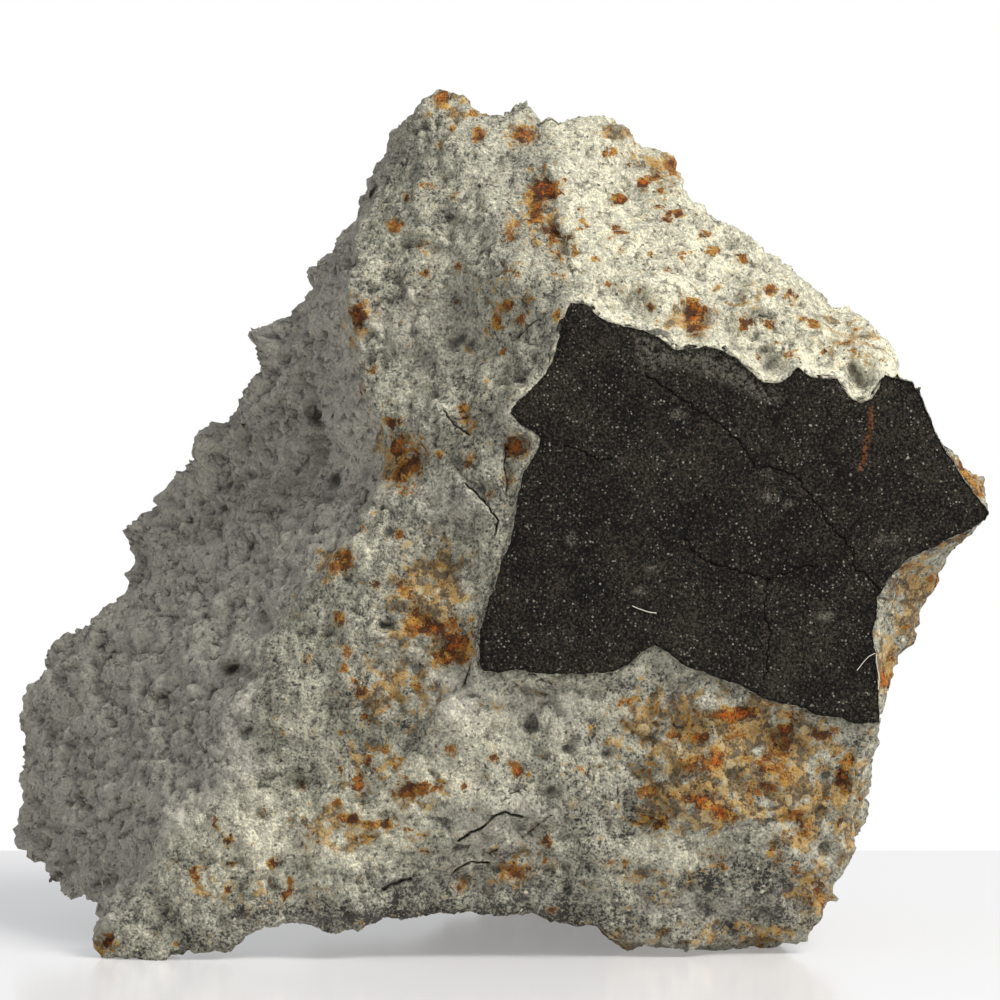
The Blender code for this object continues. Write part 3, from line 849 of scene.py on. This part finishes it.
OCHRE_WASHES = [
    (740, 750, 120, 62, 0.95), (690, 800, 80, 34, 0.85), (800, 800, 55, 50, 0.8),
    (650, 715, 50, 30, 0.7), (720, 724, 26, 8, 1.0), (430, 600, 48, 62, 0.85), (400, 690, 48, 50, 0.55),
    (375, 770, 50, 40, 0.5), (330, 562, 26, 22, 0.6), (660, 170, 26, 30, 0.6), (620, 135, 22, 16, 0.55),
    (690, 320, 28, 24, 0.8), (745, 300, 24, 24, 0.4), (850, 340, 44, 34, 0.45),
    (920, 600, 38, 60, 0.85), (962, 478, 26, 32, 0.95), (952, 538, 18, 12, 0.85),
    (884, 660, 16, 44, 0.75), (395, 455, 22, 34, 0.8), (356, 320, 16, 30, 0.55),
    (205, 875, 20, 18, 0.6), (250, 890, 40, 20, 0.45), (350, 825, 60, 26, 0.6), (420, 790, 36, 22, 0.6),
    (510, 865, 32, 26, 0.55), (105, 940, 18, 16, 0.6), (845, 800, 22, 80, 0.65),
    (700, 930, 120, 14, 0.5), (540, 215, 26, 50, 0.65), (450, 105, 32, 22, 0.45),
    (525, 135, 24, 20, 0.5), (650, 880, 60, 26, 0.3), (510, 300, 30, 40, 0.35),
    (300, 830, 50, 30, 0.35), (812, 885, 26, 46, 0.6), (640, 942, 30, 8, 0.5),
]
PALE_PLACES_AND_UNDERSIDE_SHADE = [
    (850, 370, 60, 50, 0.12), (300, 835, 140, 50, 0.2), (430, 790, 60, 40, 0.25),
    (480, 730, 60, 30, 0.18), (680, 840, 60, 40, 0.18), (450, 672, 24, 26, 0.16),
    (450, 250, 70, 90, 0.05), (740, 890, 120, 44, -0.16), (620, 820, 70, 40, -0.1),
    (500, 885, 130, 20, -0.16), (260, 920, 140, 16, -0.12), (440, 500, 50, 40, -0.06),
    (400, 918, 120, 20, -0.34), (540, 922, 120, 24, -0.3), (290, 940, 90, 14, -0.3),
]


def painted(places, marks):
    """The strongest mark at each place: full in its middle, and gone at its edge."""
    best = np.zeros(len(places))
    for column, row, half_width, half_height, strength in marks:
        away = np.hypot((places[:, 0] - column) / half_width, (places[:, 1] - row) / half_height)
        mark = strength * (1.0 - smooth_step(away, 0.20, 1.45))
        best = np.where(np.abs(mark) > np.abs(best), mark, best)
    return best


def store(mesh, **layers):
    """Keep each layer's value at each point of the mesh, for the material to read."""
    for name, values in layers.items():
        attribute = mesh.attributes.new(name, "FLOAT", "POINT")
        attribute.data.foreach_set("value", values.astype(np.float32))


def paint_stone(mesh):
    """Store how rusty, ochre, pale, dusty and cracked the break is at each point; the crack value
    darkens the cracks with painted shade, and the pale value carries painted shade along the underside.
    """
    places = column_and_row(points_of(mesh))
    front = smooth_step(facing_view(mesh), -0.25, 0.05)
    mottle = noise_over(mesh, MOTTLE_SIZE, OFFSETS[2])

    coarse = signed_distance(places, COARSE_EDGE) - DUSTY_RAGGED * mottle
    dusty = (1.0 - smooth_step(coarse, -DUSTY_FADE, DUSTY_FADE)) * LEFT_DUSTY
    dusty = np.maximum(dusty, (1.0 - front) * BACK_DUSTY)
    dusty = np.maximum(dusty, painted(places, SMOOTH_SLABS) * front + 0.25 * mottle)
    dusty = np.clip(dusty, 0.0, 1.0)
    clean = depth_inside(places, PALE_BREAK) + PALE_RAGGED * mottle
    clean = smooth_step(clean, -PALE_RAGGED, PALE_RAGGED) * front

    stained = painted(places, OCHRE_WASHES) * front
    frayed = 0.45 * mottle + 0.55 * noise_over(mesh, OCHRE_FRAY_SIZE, OFFSETS[2], octaves=3)
    ochre = stained + frayed * smooth_step(stained, 0.0, 0.3)

    tree = tree_of(points_of(mesh))
    rust = painted(places, RUST_STAINS) * front
    for numbers, away, reach in scatter(tree, RUST_SPOTS, RUST_SIZES, 21):
        strength = 0.30 + 0.45 * (reach * 1e6 % 1.0)
        rust[numbers] = np.maximum(rust[numbers], strength * (1.0 - away ** 2))
    rust = rust * (1.0 - 0.6 * dusty) + 0.07 - 0.28 * dusty + 0.03 * clean
    frayed = noise_over(mesh, RUST_FRAY_SIZE, OFFSETS[1], octaves=3)
    rust += stained * (0.22 + 0.65 * frayed)

    # The negative marks along the bottom lower the paleness: painted shade on the underside
    pale = BREAK_PALE + CLEAN_PALE * clean + painted(places, PALE_PLACES_AND_UNDERSIDE_SHADE) * front
    pale += 0.12 * noise_over(mesh, SHADE_SIZE, OFFSETS[0], octaves=3)
    for numbers, away, _ in scatter(tree, GREY_SPOTS, GREY_SIZES, 22):
        pale[numbers] -= 0.16 * (1.0 - smooth_step(away, 0.7, 1.0))

    # The crack value only darkens the cracks with painted shade
    gaps = [crack_away(places, line) / half_width for line, half_width, _ in STONE_CRACKS]
    gap = reduce(np.minimum, gaps) + 0.5 * noise_over(mesh, CRACK_FRAY_SIZE, OFFSETS[0], octaves=2)
    crack = np.clip(1.2 - gap, 0.0, 1.0) * front
    store(mesh, rust=rust, ochre=ochre, pale=pale, dusty=dusty, crack=crack)


paint_stone(stone_mesh)


def new_material(name):
    material = bpy.data.materials.new(name)
    material.use_nodes = True
    return material, material.node_tree, material.node_tree.nodes["Principled BSDF"]


STONE_BUMP = 0.00014
stone_material, tree, shader = new_material("broken chondrite")
place = add_node(tree, "TexCoord", {}).outputs["Object"]
stains = {name: attribute_node(tree, name.lower()) for name in ("Rust", "Ochre", "Pale", "Dusty")}
body = place_group(tree, chondrite, Place=place, **stains)
# Painted shade: the colour turns toward dark grey where the surface is hollow, as pointiness measures
# it
pointiness_for_shade = add_node(tree, "NewGeometry", {}).outputs["Pointiness"]
colour = ramp_node(tree, pointiness_for_shade, 0.49, 0.41, body.outputs["Colour"], DARK_GREY, 0.65)
# Painted shade: the cracks are darkened toward their middles
colour = ramp_node(tree, attribute_node(tree, "crack"), 0.45, 0.95, colour, CRACK_SHADE, 0.70)
bump = add_node(
    tree, "Bump", {"Height": body.outputs["Height"], "Distance": STONE_BUMP, "Strength": 0.9},
)
feed(tree, shader, {
    "Base Color": colour, "Normal": bump.outputs["Normal"], "Roughness": 0.9,
    "Specular IOR Level": 0.25,
})
stone_mesh.materials.clear()
stone_mesh.materials.append(stone_material)
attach(stone, "root")
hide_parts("stone")

# Fusion crust
# The melted skin that the meteorite kept from its fall: a matt black-brown layer half a
# millimetre thick, with a broken outline, fine hairline cracks, and a chipped wedge at its top.
CRUST_STEP = 0.00010
OUTLINE_STEP, OUTLINE_RAGGED = 0.00009, 0.00007

# The crust's broken wall: how deep and how far out it is at each step down, how rough, and how
# much further out it stands on the left
WALL_RINGS = [
    (0.00005, 0.00002), (0.00018, 0.00006), (0.00036, 0.00010), (0.00060, 0.00012),
    (0.00095, 0.00002),
]
WALL_ROUGH, WALL_ROUGH_SIZE = 0.00005, 0.0004
LEFT_FLARE, FLARE_DEPTH = 0.00024, 0.0006
LEFT_STARTS, LEFT_ENDS = 0.0025, 0.0045

# The crust's top: its swells, its grit, its worn edge and its highest point
CRUST_SWELL, CRUST_SWELL_SIZE = 0.00006, 0.0035
CRUST_GRIT, CRUST_GRIT_SIZE = 0.000022, 0.00030
EDGE_WEAR, EDGE_WIDTH = 0.00009, 0.00007
CRUST_TOP = 0.00005

# Hairline cracks by column and row, one of them rusted, and the wedge that is chipped away
CRACK_HALF_WIDTH, CRACK_DEPTH = 0.000042, 0.00014
CRACK_STEP, CRACK_RAGGED = 0.00011, 0.00030
CRUST_CRACKS = [
    [(644, 374), (657, 383), (680, 401), (701, 415), (717, 424), (730, 435), (744, 452),
     (753, 468)],
    [(760, 466), (784, 472), (798, 481), (807, 495), (819, 508), (824, 521), (838, 537),
     (847, 548), (853, 558), (852, 571), (863, 571), (866, 581), (877, 589)],
    [(691, 551), (703, 560), (719, 566), (738, 570), (752, 574), (763, 579), (776, 576),
     (790, 571), (801, 567), (815, 566)],
    [(703, 495), (694, 513), (687, 524), (682, 540), (691, 551)],
    [(763, 579), (761, 592), (763, 611), (767, 630), (766, 650), (764, 669), (761, 678)],
    [(564, 445), (585, 453), (594, 458), (598, 461), (610, 459)],
]
RUSTED_CRACK = [(868, 410), (868, 426), (863, 444), (861, 462), (857, 469)]
CHIPPED_WEDGE = [
    (632, 336), (655, 338), (673, 352), (694, 351), (703, 348), (717, 352), (734, 360),
    (748, 374), (761, 385), (776, 398), (764, 402), (741, 391), (713, 380), (690, 372),
    (672, 366), (655, 372), (644, 374), (637, 354),
]
WEDGE_DEPTH, WEDGE_ROUGH, WEDGE_ROUGH_SIZE = 0.00016, 0.00013, 0.0005
WEDGE_FRAY, WEDGE_FRAY_SIZE = 0.00010, 0.0006


def side_lines(line, gap):
    """The two lines that run beside a line and meet it at its ends."""
    line = np.array(line)
    along = np.gradient(line, axis=0)
    along /= np.hypot(along[:, 0], along[:, 1])[:, None]
    side = np.stack((-along[:, 1], along[:, 0]), axis=1)
    taper = np.minimum(1.0, np.minimum(np.arange(len(line)), np.arange(len(line))[::-1]) / 4.0)
    return line + side * (gap * taper)[:, None], line - side * (gap * taper)[:, None]


def flat_mesh(outline, lines, step):
    """Points and triangles that fill an outline, with edges along the lines."""
    points = [tuple(spot) for spot in outline]
    edges = [(number, (number + 1) % len(points)) for number in range(len(points))]
    for line in lines:
        first = len(points)
        points += [tuple(spot) for spot in line]
        edges += [(first + number, first + number + 1) for number in range(len(line) - 1)]
    low, high = np.min(points, axis=0), np.max(points, axis=0)
    rows = np.arange(low[1], high[1], step * math.sqrt(0.75))
    columns = np.arange(low[0], high[0], step)
    spread = np.array([
        (x + (number % 2) * step / 2, y) for number, y in enumerate(rows) for x in columns
    ])
    spread += (np.random.default_rng(5).random(spread.shape) - 0.5) * step * 0.5
    clear = depth_inside(spread, outline) > step * 0.45
    clear &= distance_to_lines(spread, lines) > step * 0.35
    points += [tuple(spot) for spot in spread[clear]]
    made = geometry.delaunay_2d_cdt([Vector(spot) for spot in points], edges, [], 0, 1e-9, False)
    places = np.array([tuple(spot) for spot in made[0]])
    faces = np.array(made[2])
    middles = places[faces].mean(axis=1)
    return places, faces[is_inside(middles, outline)]


ragged_outline = np.array(
    ragged_line([tuple(spot) for spot in outline_flat], OUTLINE_STEP, OUTLINE_RAGGED, 1.7, True)
)
crack_lines = [
    ragged_line([flat_place(*spot) for spot in crack], CRACK_STEP, CRACK_RAGGED, number)
    for number, crack in enumerate(CRUST_CRACKS)
]
edge_lines = []
for line in crack_lines:
    edge_lines += [line, *side_lines(line, CRACK_HALF_WIDTH)]
crust_places, crust_faces = flat_mesh(ragged_outline, edge_lines, CRUST_STEP)


def noise_at(places, size, seed, octaves=3):
    return np.array([
        noise.fractal(Vector((x / size, y / size, seed)), 1.0, 2.0, octaves) for x, y in places
    ])


def crack_share(places):
    """How deep in a hairline crack each flat place is: 1 in its middle, and 0 outside it."""
    return np.clip(1.0 - distance_to_lines(places, crack_lines) / CRACK_HALF_WIDTH, 0.0, 1.0)


wedge = flat_places(CHIPPED_WEDGE)


def crust_relief(places):
    """How high the crust's top is over its plane at each flat place."""
    edge_gap = distance_to_line(places, ragged_outline, closed=True)
    frayed = depth_inside(places, wedge) + noise_at(places, WEDGE_FRAY_SIZE, 3.3) * WEDGE_FRAY
    in_wedge = smooth_step(frayed, -0.00003, 0.00008)
    chips = WEDGE_DEPTH + WEDGE_ROUGH * noise_at(places, WEDGE_ROUGH_SIZE, 6.0)
    height = noise_at(places, CRUST_SWELL_SIZE, 0.4) * CRUST_SWELL
    height += noise_at(places, CRUST_GRIT_SIZE, 2.1, octaves=2) * CRUST_GRIT
    height -= EDGE_WEAR * np.exp(-edge_gap / EDGE_WIDTH)
    height -= in_wedge * chips
    height -= CRACK_DEPTH * crack_share(places)
    return np.minimum(height, CRUST_TOP)


def raised(places, heights):
    """Flat places at heights over the crust's plane, as points in space."""
    return (
        np.array(crust_centre) + places[:, :1] * np.array(CRUST_ACROSS)
        + places[:, 1:] * np.array(CRUST_UP) + heights[:, None] * np.array(CRUST_NORMAL)
    )


def outward(outline):
    """Which way is out at each point of a closed outline, evened out along it."""
    around = sum(np.roll(outline, -shift, axis=0) - np.roll(outline, shift, axis=0)
                 for shift in (2, 4, 6))
    around /= np.hypot(around[:, 0], around[:, 1])[:, None]
    side = np.stack((around[:, 1], -around[:, 0]), axis=1)
    probe = is_inside(outline + side * 0.0001, outline)
    return side if probe.mean() < 0.5 else -side


def mesh_of(work, name):
    mesh = bpy.data.meshes.new(name)
    work.to_mesh(mesh)
    work.free()
    return mesh


def build_crust():
    """The crust's top, its broken wall and its hidden underside, as one closed mesh."""
    work = bmesh.new()
    heights = crust_relief(crust_places)
    top = [work.verts.new(spot) for spot in raised(crust_places, heights)]
    for first, second, third in crust_faces:
        work.faces.new((top[first], top[second], top[third]))
    loop = []
    for spot in ragged_outline:
        gaps = np.hypot(crust_places[:, 0] - spot[0], crust_places[:, 1] - spot[1])
        number = int(gaps.argmin())
        if not loop or loop[-1] != number:
            loop.append(number)
    rim = crust_places[loop]
    out = outward(rim)
    left = smooth_step(-out[:, 0], 0.3, 0.8) * smooth_step(-rim[:, 0], LEFT_STARTS, LEFT_ENDS)
    above = [top[number] for number in loop]
    for level, (depth, spread) in enumerate(WALL_RINGS):
        share = min(1.0, depth / FLARE_DEPTH)
        rough = noise_at(rim, WALL_ROUGH_SIZE, 9.0 + level) * WALL_ROUGH
        ring = rim + out * (spread + left * LEFT_FLARE * share + rough)[:, None]
        below = [work.verts.new(spot) for spot in raised(ring, np.full(len(ring), -depth))]
        for number in range(len(below)):
            after = (number + 1) % len(below)
            work.faces.new((above[number], below[number], below[after], above[after]))
        above = below
    work.faces.new(above)
    bmesh.ops.triangulate(work, faces=[face for face in work.faces if len(face.verts) > 4])
    bmesh.ops.recalc_face_normals(work, faces=work.faces)
    loose = [vertex for vertex in work.verts if not vertex.link_faces]
    bmesh.ops.delete(work, geom=loose, context="VERTS")
    return mesh_of(work, "fusion_crust")


crust_mesh = build_crust()
crust_mesh.shade_smooth()
crust = add_object("fusion_crust", crust_mesh)

# Small pale scuffs, by column, row, half width and half height in pixels, and strength
CRUST_SCUFFS = [
    (677, 415, 9, 5, 1.3), (767, 496, 9, 6, 1.2), (786, 504, 6, 5, 1.1), (823, 615, 10, 5, 1.3),
    (571, 538, 6, 8, 1.2), (650, 567, 8, 6, 1.0), (640, 590, 8, 5, 1.0), (770, 400, 9, 5, 1.0),
    (905, 560, 16, 6, 0.9), (884, 540, 14, 6, 0.8),
]

# How pale and how ochre the broken stone is that shows in the crust's wall
WALL_PALE, WALL_OCHRE = 0.22, 0.15


def paint_crust(mesh):
    """Store how chipped, rusted and cracked the crust is, and return how much each point is wall; the
    crack value only darkens the hairline cracks with painted shade.
    """
    points = points_of(mesh)
    height, flat = over_crust_plane(points)
    in_wedge = depth_inside(flat, wedge)
    on_top = smooth_step(height, -0.00030, -0.00012)
    scuffs = painted(column_and_row(points), CRUST_SCUFFS) * on_top
    rust_gap = distance_to_line(flat, flat_places(RUSTED_CRACK))
    store(
        mesh, chipped=np.maximum(smooth_step(in_wedge, -0.00025, 0.00020), scuffs),
        rust=1.0 - smooth_step(rust_gap, 0.00004, 0.00018), crack=crack_share(flat),
        pale=np.full(len(points), WALL_PALE), ochre=np.full(len(points), WALL_OCHRE),
    )
    wedge_top = smooth_step(in_wedge, -0.0001, 0.0001) * (height > -0.0004)
    return 1.0 - np.maximum(on_top, wedge_top)


wall = paint_crust(crust_mesh)

CRUST_BLACK = (0.0024, 0.0021, 0.0016, 1.0)
CRUST_BROWN = (0.058, 0.049, 0.035, 1.0)
CRUST_GLINT = (0.36, 0.35, 0.28, 1.0)
CRUST_AMBER = (0.20, 0.115, 0.040, 1.0)
CHIPPED_GREY = (0.165, 0.150, 0.120, 1.0)
CRUST_RUST = (0.24, 0.075, 0.022, 1.0)

# How far apart the crust's patches, speck clusters, flakes and grains are, and how high its
# grains stand
PATCH_SIZE, CLUSTER_SIZE, FLAKE_SIZE, CRUST_GRAIN_SIZE = 0.0022, 0.0009, 0.00020, 0.00013
CRUST_BUMP = 0.00017

# Light specks in the crust, partly mineral grains and partly painted glints: how far apart, the
# share of places that hold one, their size for that spacing, and their strength
CRUST_SPECKS = [(0.00016, 0.60, 0.28, 0.70), (0.00040, 0.26, 0.16, 0.85)]

crust_material, tree, shader = new_material("fusion crust")
place = add_node(tree, "TexCoord", {}).outputs["Object"]
fine = noise_node(tree, place, CRUST_GRAIN_SIZE, detail=4.0, roughness=0.75)
broad = noise_node(tree, place, PATCH_SIZE, detail=4.0)
tone = math_node(tree, "MULTIPLY_ADD", broad, 0.25, fine)
colour = ramp_node(tree, tone, 0.56, 0.80, CRUST_BLACK, CRUST_BROWN)
clusters = step_node(tree, noise_node(tree, place, CLUSTER_SIZE), 0.40, 0.62, 0.60, 1.35)
# Light mineral grains and painted glints on the crust
for spacing, share, size, strength in CRUST_SPECKS:
    glints = place_group(
        tree, specks, Place=place, Spacing=spacing, Share=share, Size=size, Ragged=0.8,
        Softness=0.08,
    )
    speck_tone = glints.outputs["Tone"]
    speck_colour = ramp_node(tree, speck_tone, 0.45, 0.30, CRUST_GLINT, CRUST_AMBER)
    shown = math_node(tree, "MULTIPLY", glints.outputs["Mask"], speck_tone)
    shown = math_node(tree, "MULTIPLY", shown, math_node(tree, "MULTIPLY", clusters, strength))
    colour = mix_node(tree, shown, colour, speck_colour)
flakes = noise_node(tree, place, FLAKE_SIZE, detail=5.0, roughness=0.75)
flakes = step_node(tree, flakes, 0.44, 0.60, 0.0, 0.85)
flaked = math_node(tree, "MULTIPLY", attribute_node(tree, "chipped"), flakes)
colour = mix_node(tree, flaked, colour, CHIPPED_GREY)
rusty_grains = step_node(tree, fine, 0.40, 0.62, 0.0, 0.8)
rusted = math_node(tree, "MULTIPLY", attribute_node(tree, "rust"), rusty_grains)
colour = mix_node(tree, rusted, colour, CRUST_RUST)
# Painted shade: the hairline cracks are darkened toward their middles
colour = ramp_node(tree, attribute_node(tree, "crack"), 0.15, 0.60, colour, CRACK_SHADE)
bump = add_node(tree, "Bump", {"Height": fine, "Distance": CRUST_BUMP, "Strength": 1.0})
feed(tree, shader, {
    "Base Color": colour, "Normal": bump.outputs["Normal"], "Roughness": 0.8,
    "Specular IOR Level": 0.15,
})
crust_mesh.materials.append(crust_material)
crust_mesh.materials.append(stone_material)
for face in crust_mesh.polygons:
    face.material_index = int(wall[list(face.vertices)].mean() > 0.6)
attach(crust, "root")
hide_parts("stone")

# Lint
# A few pale textile fibres that have caught on the crust's rough skin: each a thin curved
# thread a few hundredths of a millimetre thick, lying on the crust.
LINT_RADIUS, LINT_SIDES = 0.000020, 6
LINT_LIFT = 0.00006
LINT_THREADS = [
    [(631, 605), (638, 608), (647, 611), (655, 612)],
    [(872, 652), (866, 655), (861, 660), (854, 669)],
    [(873, 653), (874, 665), (876, 676), (875, 688)],
]
LINT_COLOUR = (0.62, 0.60, 0.50, 1.0)


def add_thread(work, places):
    """A thin round thread that lies on the crust along the places."""
    turns = [2 * math.pi * step / LINT_SIDES for step in range(LINT_SIDES)]
    spots = [on_crust_plane(*spot) + CRUST_NORMAL * (LINT_LIFT + LINT_RADIUS) for spot in places]
    rings = []
    for number, spot in enumerate(spots):
        before, after = spots[max(0, number - 1)], spots[min(len(spots) - 1, number + 1)]
        side = (after - before).normalized().cross(CRUST_NORMAL).normalized()
        around = [side * math.cos(turn) + CRUST_NORMAL * math.sin(turn) for turn in turns]
        rings.append([work.verts.new(spot + way * LINT_RADIUS) for way in around])
    for first, second in zip(rings, rings[1:]):
        for step in range(LINT_SIDES):
            after = (step + 1) % LINT_SIDES
            work.faces.new((first[step], first[after], second[after], second[step]))
    work.faces.new(rings[0])
    work.faces.new(rings[-1])


work = bmesh.new()
for places in LINT_THREADS:
    add_thread(work, places)
bmesh.ops.recalc_face_normals(work, faces=work.faces)
lint_mesh = mesh_of(work, "lint_threads")
lint = add_object("lint_threads", lint_mesh)
lint_material, tree, shader = new_material("lint")
feed(tree, shader, {"Base Color": LINT_COLOUR, "Roughness": 0.9})
lint_mesh.materials.append(lint_material)
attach(lint, "root")
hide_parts("stone")

# Floor and light
# A plain pale floor, lit a little from within so that it stays pale under the stone, in plain
# soft surroundings, with one larger light high on the right.
FLOOR_REACH, FLOOR_BACK = 0.6, 0.0305
FLOOR_COLOUR = (0.60, 0.59, 0.59, 1.0)
GLOW_COLOUR, FLOOR_GLOW = (1.0, 0.99, 0.99, 1.0), 0.26
WHITE = (1.0, 1.0, 1.0, 1.0)
SKY_COLOUR, SKY_STRENGTH = (0.93, 0.96, 1.0, 1.0), 0.50
LIGHT_AIM = Vector((0.0, 0.0, 0.02))
LIGHT_SIDE = Vector((0.62, -0.38, 0.80)).normalized()
LIGHT_DISTANCE, LIGHT_SIZE, LIGHT_POWER = 0.45, 0.22, 2.65
LIGHT_COLOUR = (1.0, 0.985, 0.95)

work = bmesh.new()
corners = [
    (-FLOOR_REACH, -FLOOR_REACH), (FLOOR_REACH, -FLOOR_REACH),
    (FLOOR_REACH, FLOOR_BACK), (-FLOOR_REACH, FLOOR_BACK),
]
work.faces.new([work.verts.new((x, y, 0.0)) for x, y in corners])
floor_mesh = mesh_of(work, "floor")
floor = add_object("floor", floor_mesh)
floor_material, tree, shader = new_material("pale floor")
feed(tree, shader, {
    "Base Color": FLOOR_COLOUR, "Emission Color": GLOW_COLOUR, "Emission Strength": FLOOR_GLOW,
    "Roughness": 0.16,
})
floor_mesh.materials.append(floor_material)

world = bpy.data.worlds.new("white surroundings")
world.use_nodes = True
tree = world.node_tree
seen = feed(tree, tree.nodes["Background"], {"Color": WHITE, "Strength": 1.0})
lit = add_node(tree, "Background", {"Color": SKY_COLOUR, "Strength": SKY_STRENGTH})
ray = add_node(tree, "LightPath", {})
either = add_node(tree, "MixShader", {0: ray.outputs["Is Camera Ray"]})
tree.links.new(lit.outputs["Background"], either.inputs[1])
tree.links.new(seen.outputs["Background"], either.inputs[2])
tree.links.new(either.outputs["Shader"], tree.nodes["World Output"].inputs["Surface"])
scene.world = world
scene.view_settings.view_transform = "Standard"

light_data = bpy.data.lights.new("key light", "AREA")
light_data.size = LIGHT_SIZE
light_data.energy = LIGHT_POWER
light_data.color = LIGHT_COLOUR
light = add_object("key light", light_data)
light.location = LIGHT_AIM + LIGHT_SIDE * LIGHT_DISTANCE
light.rotation_euler = (-LIGHT_SIDE).to_track_quat("-Z", "Y").to_euler()
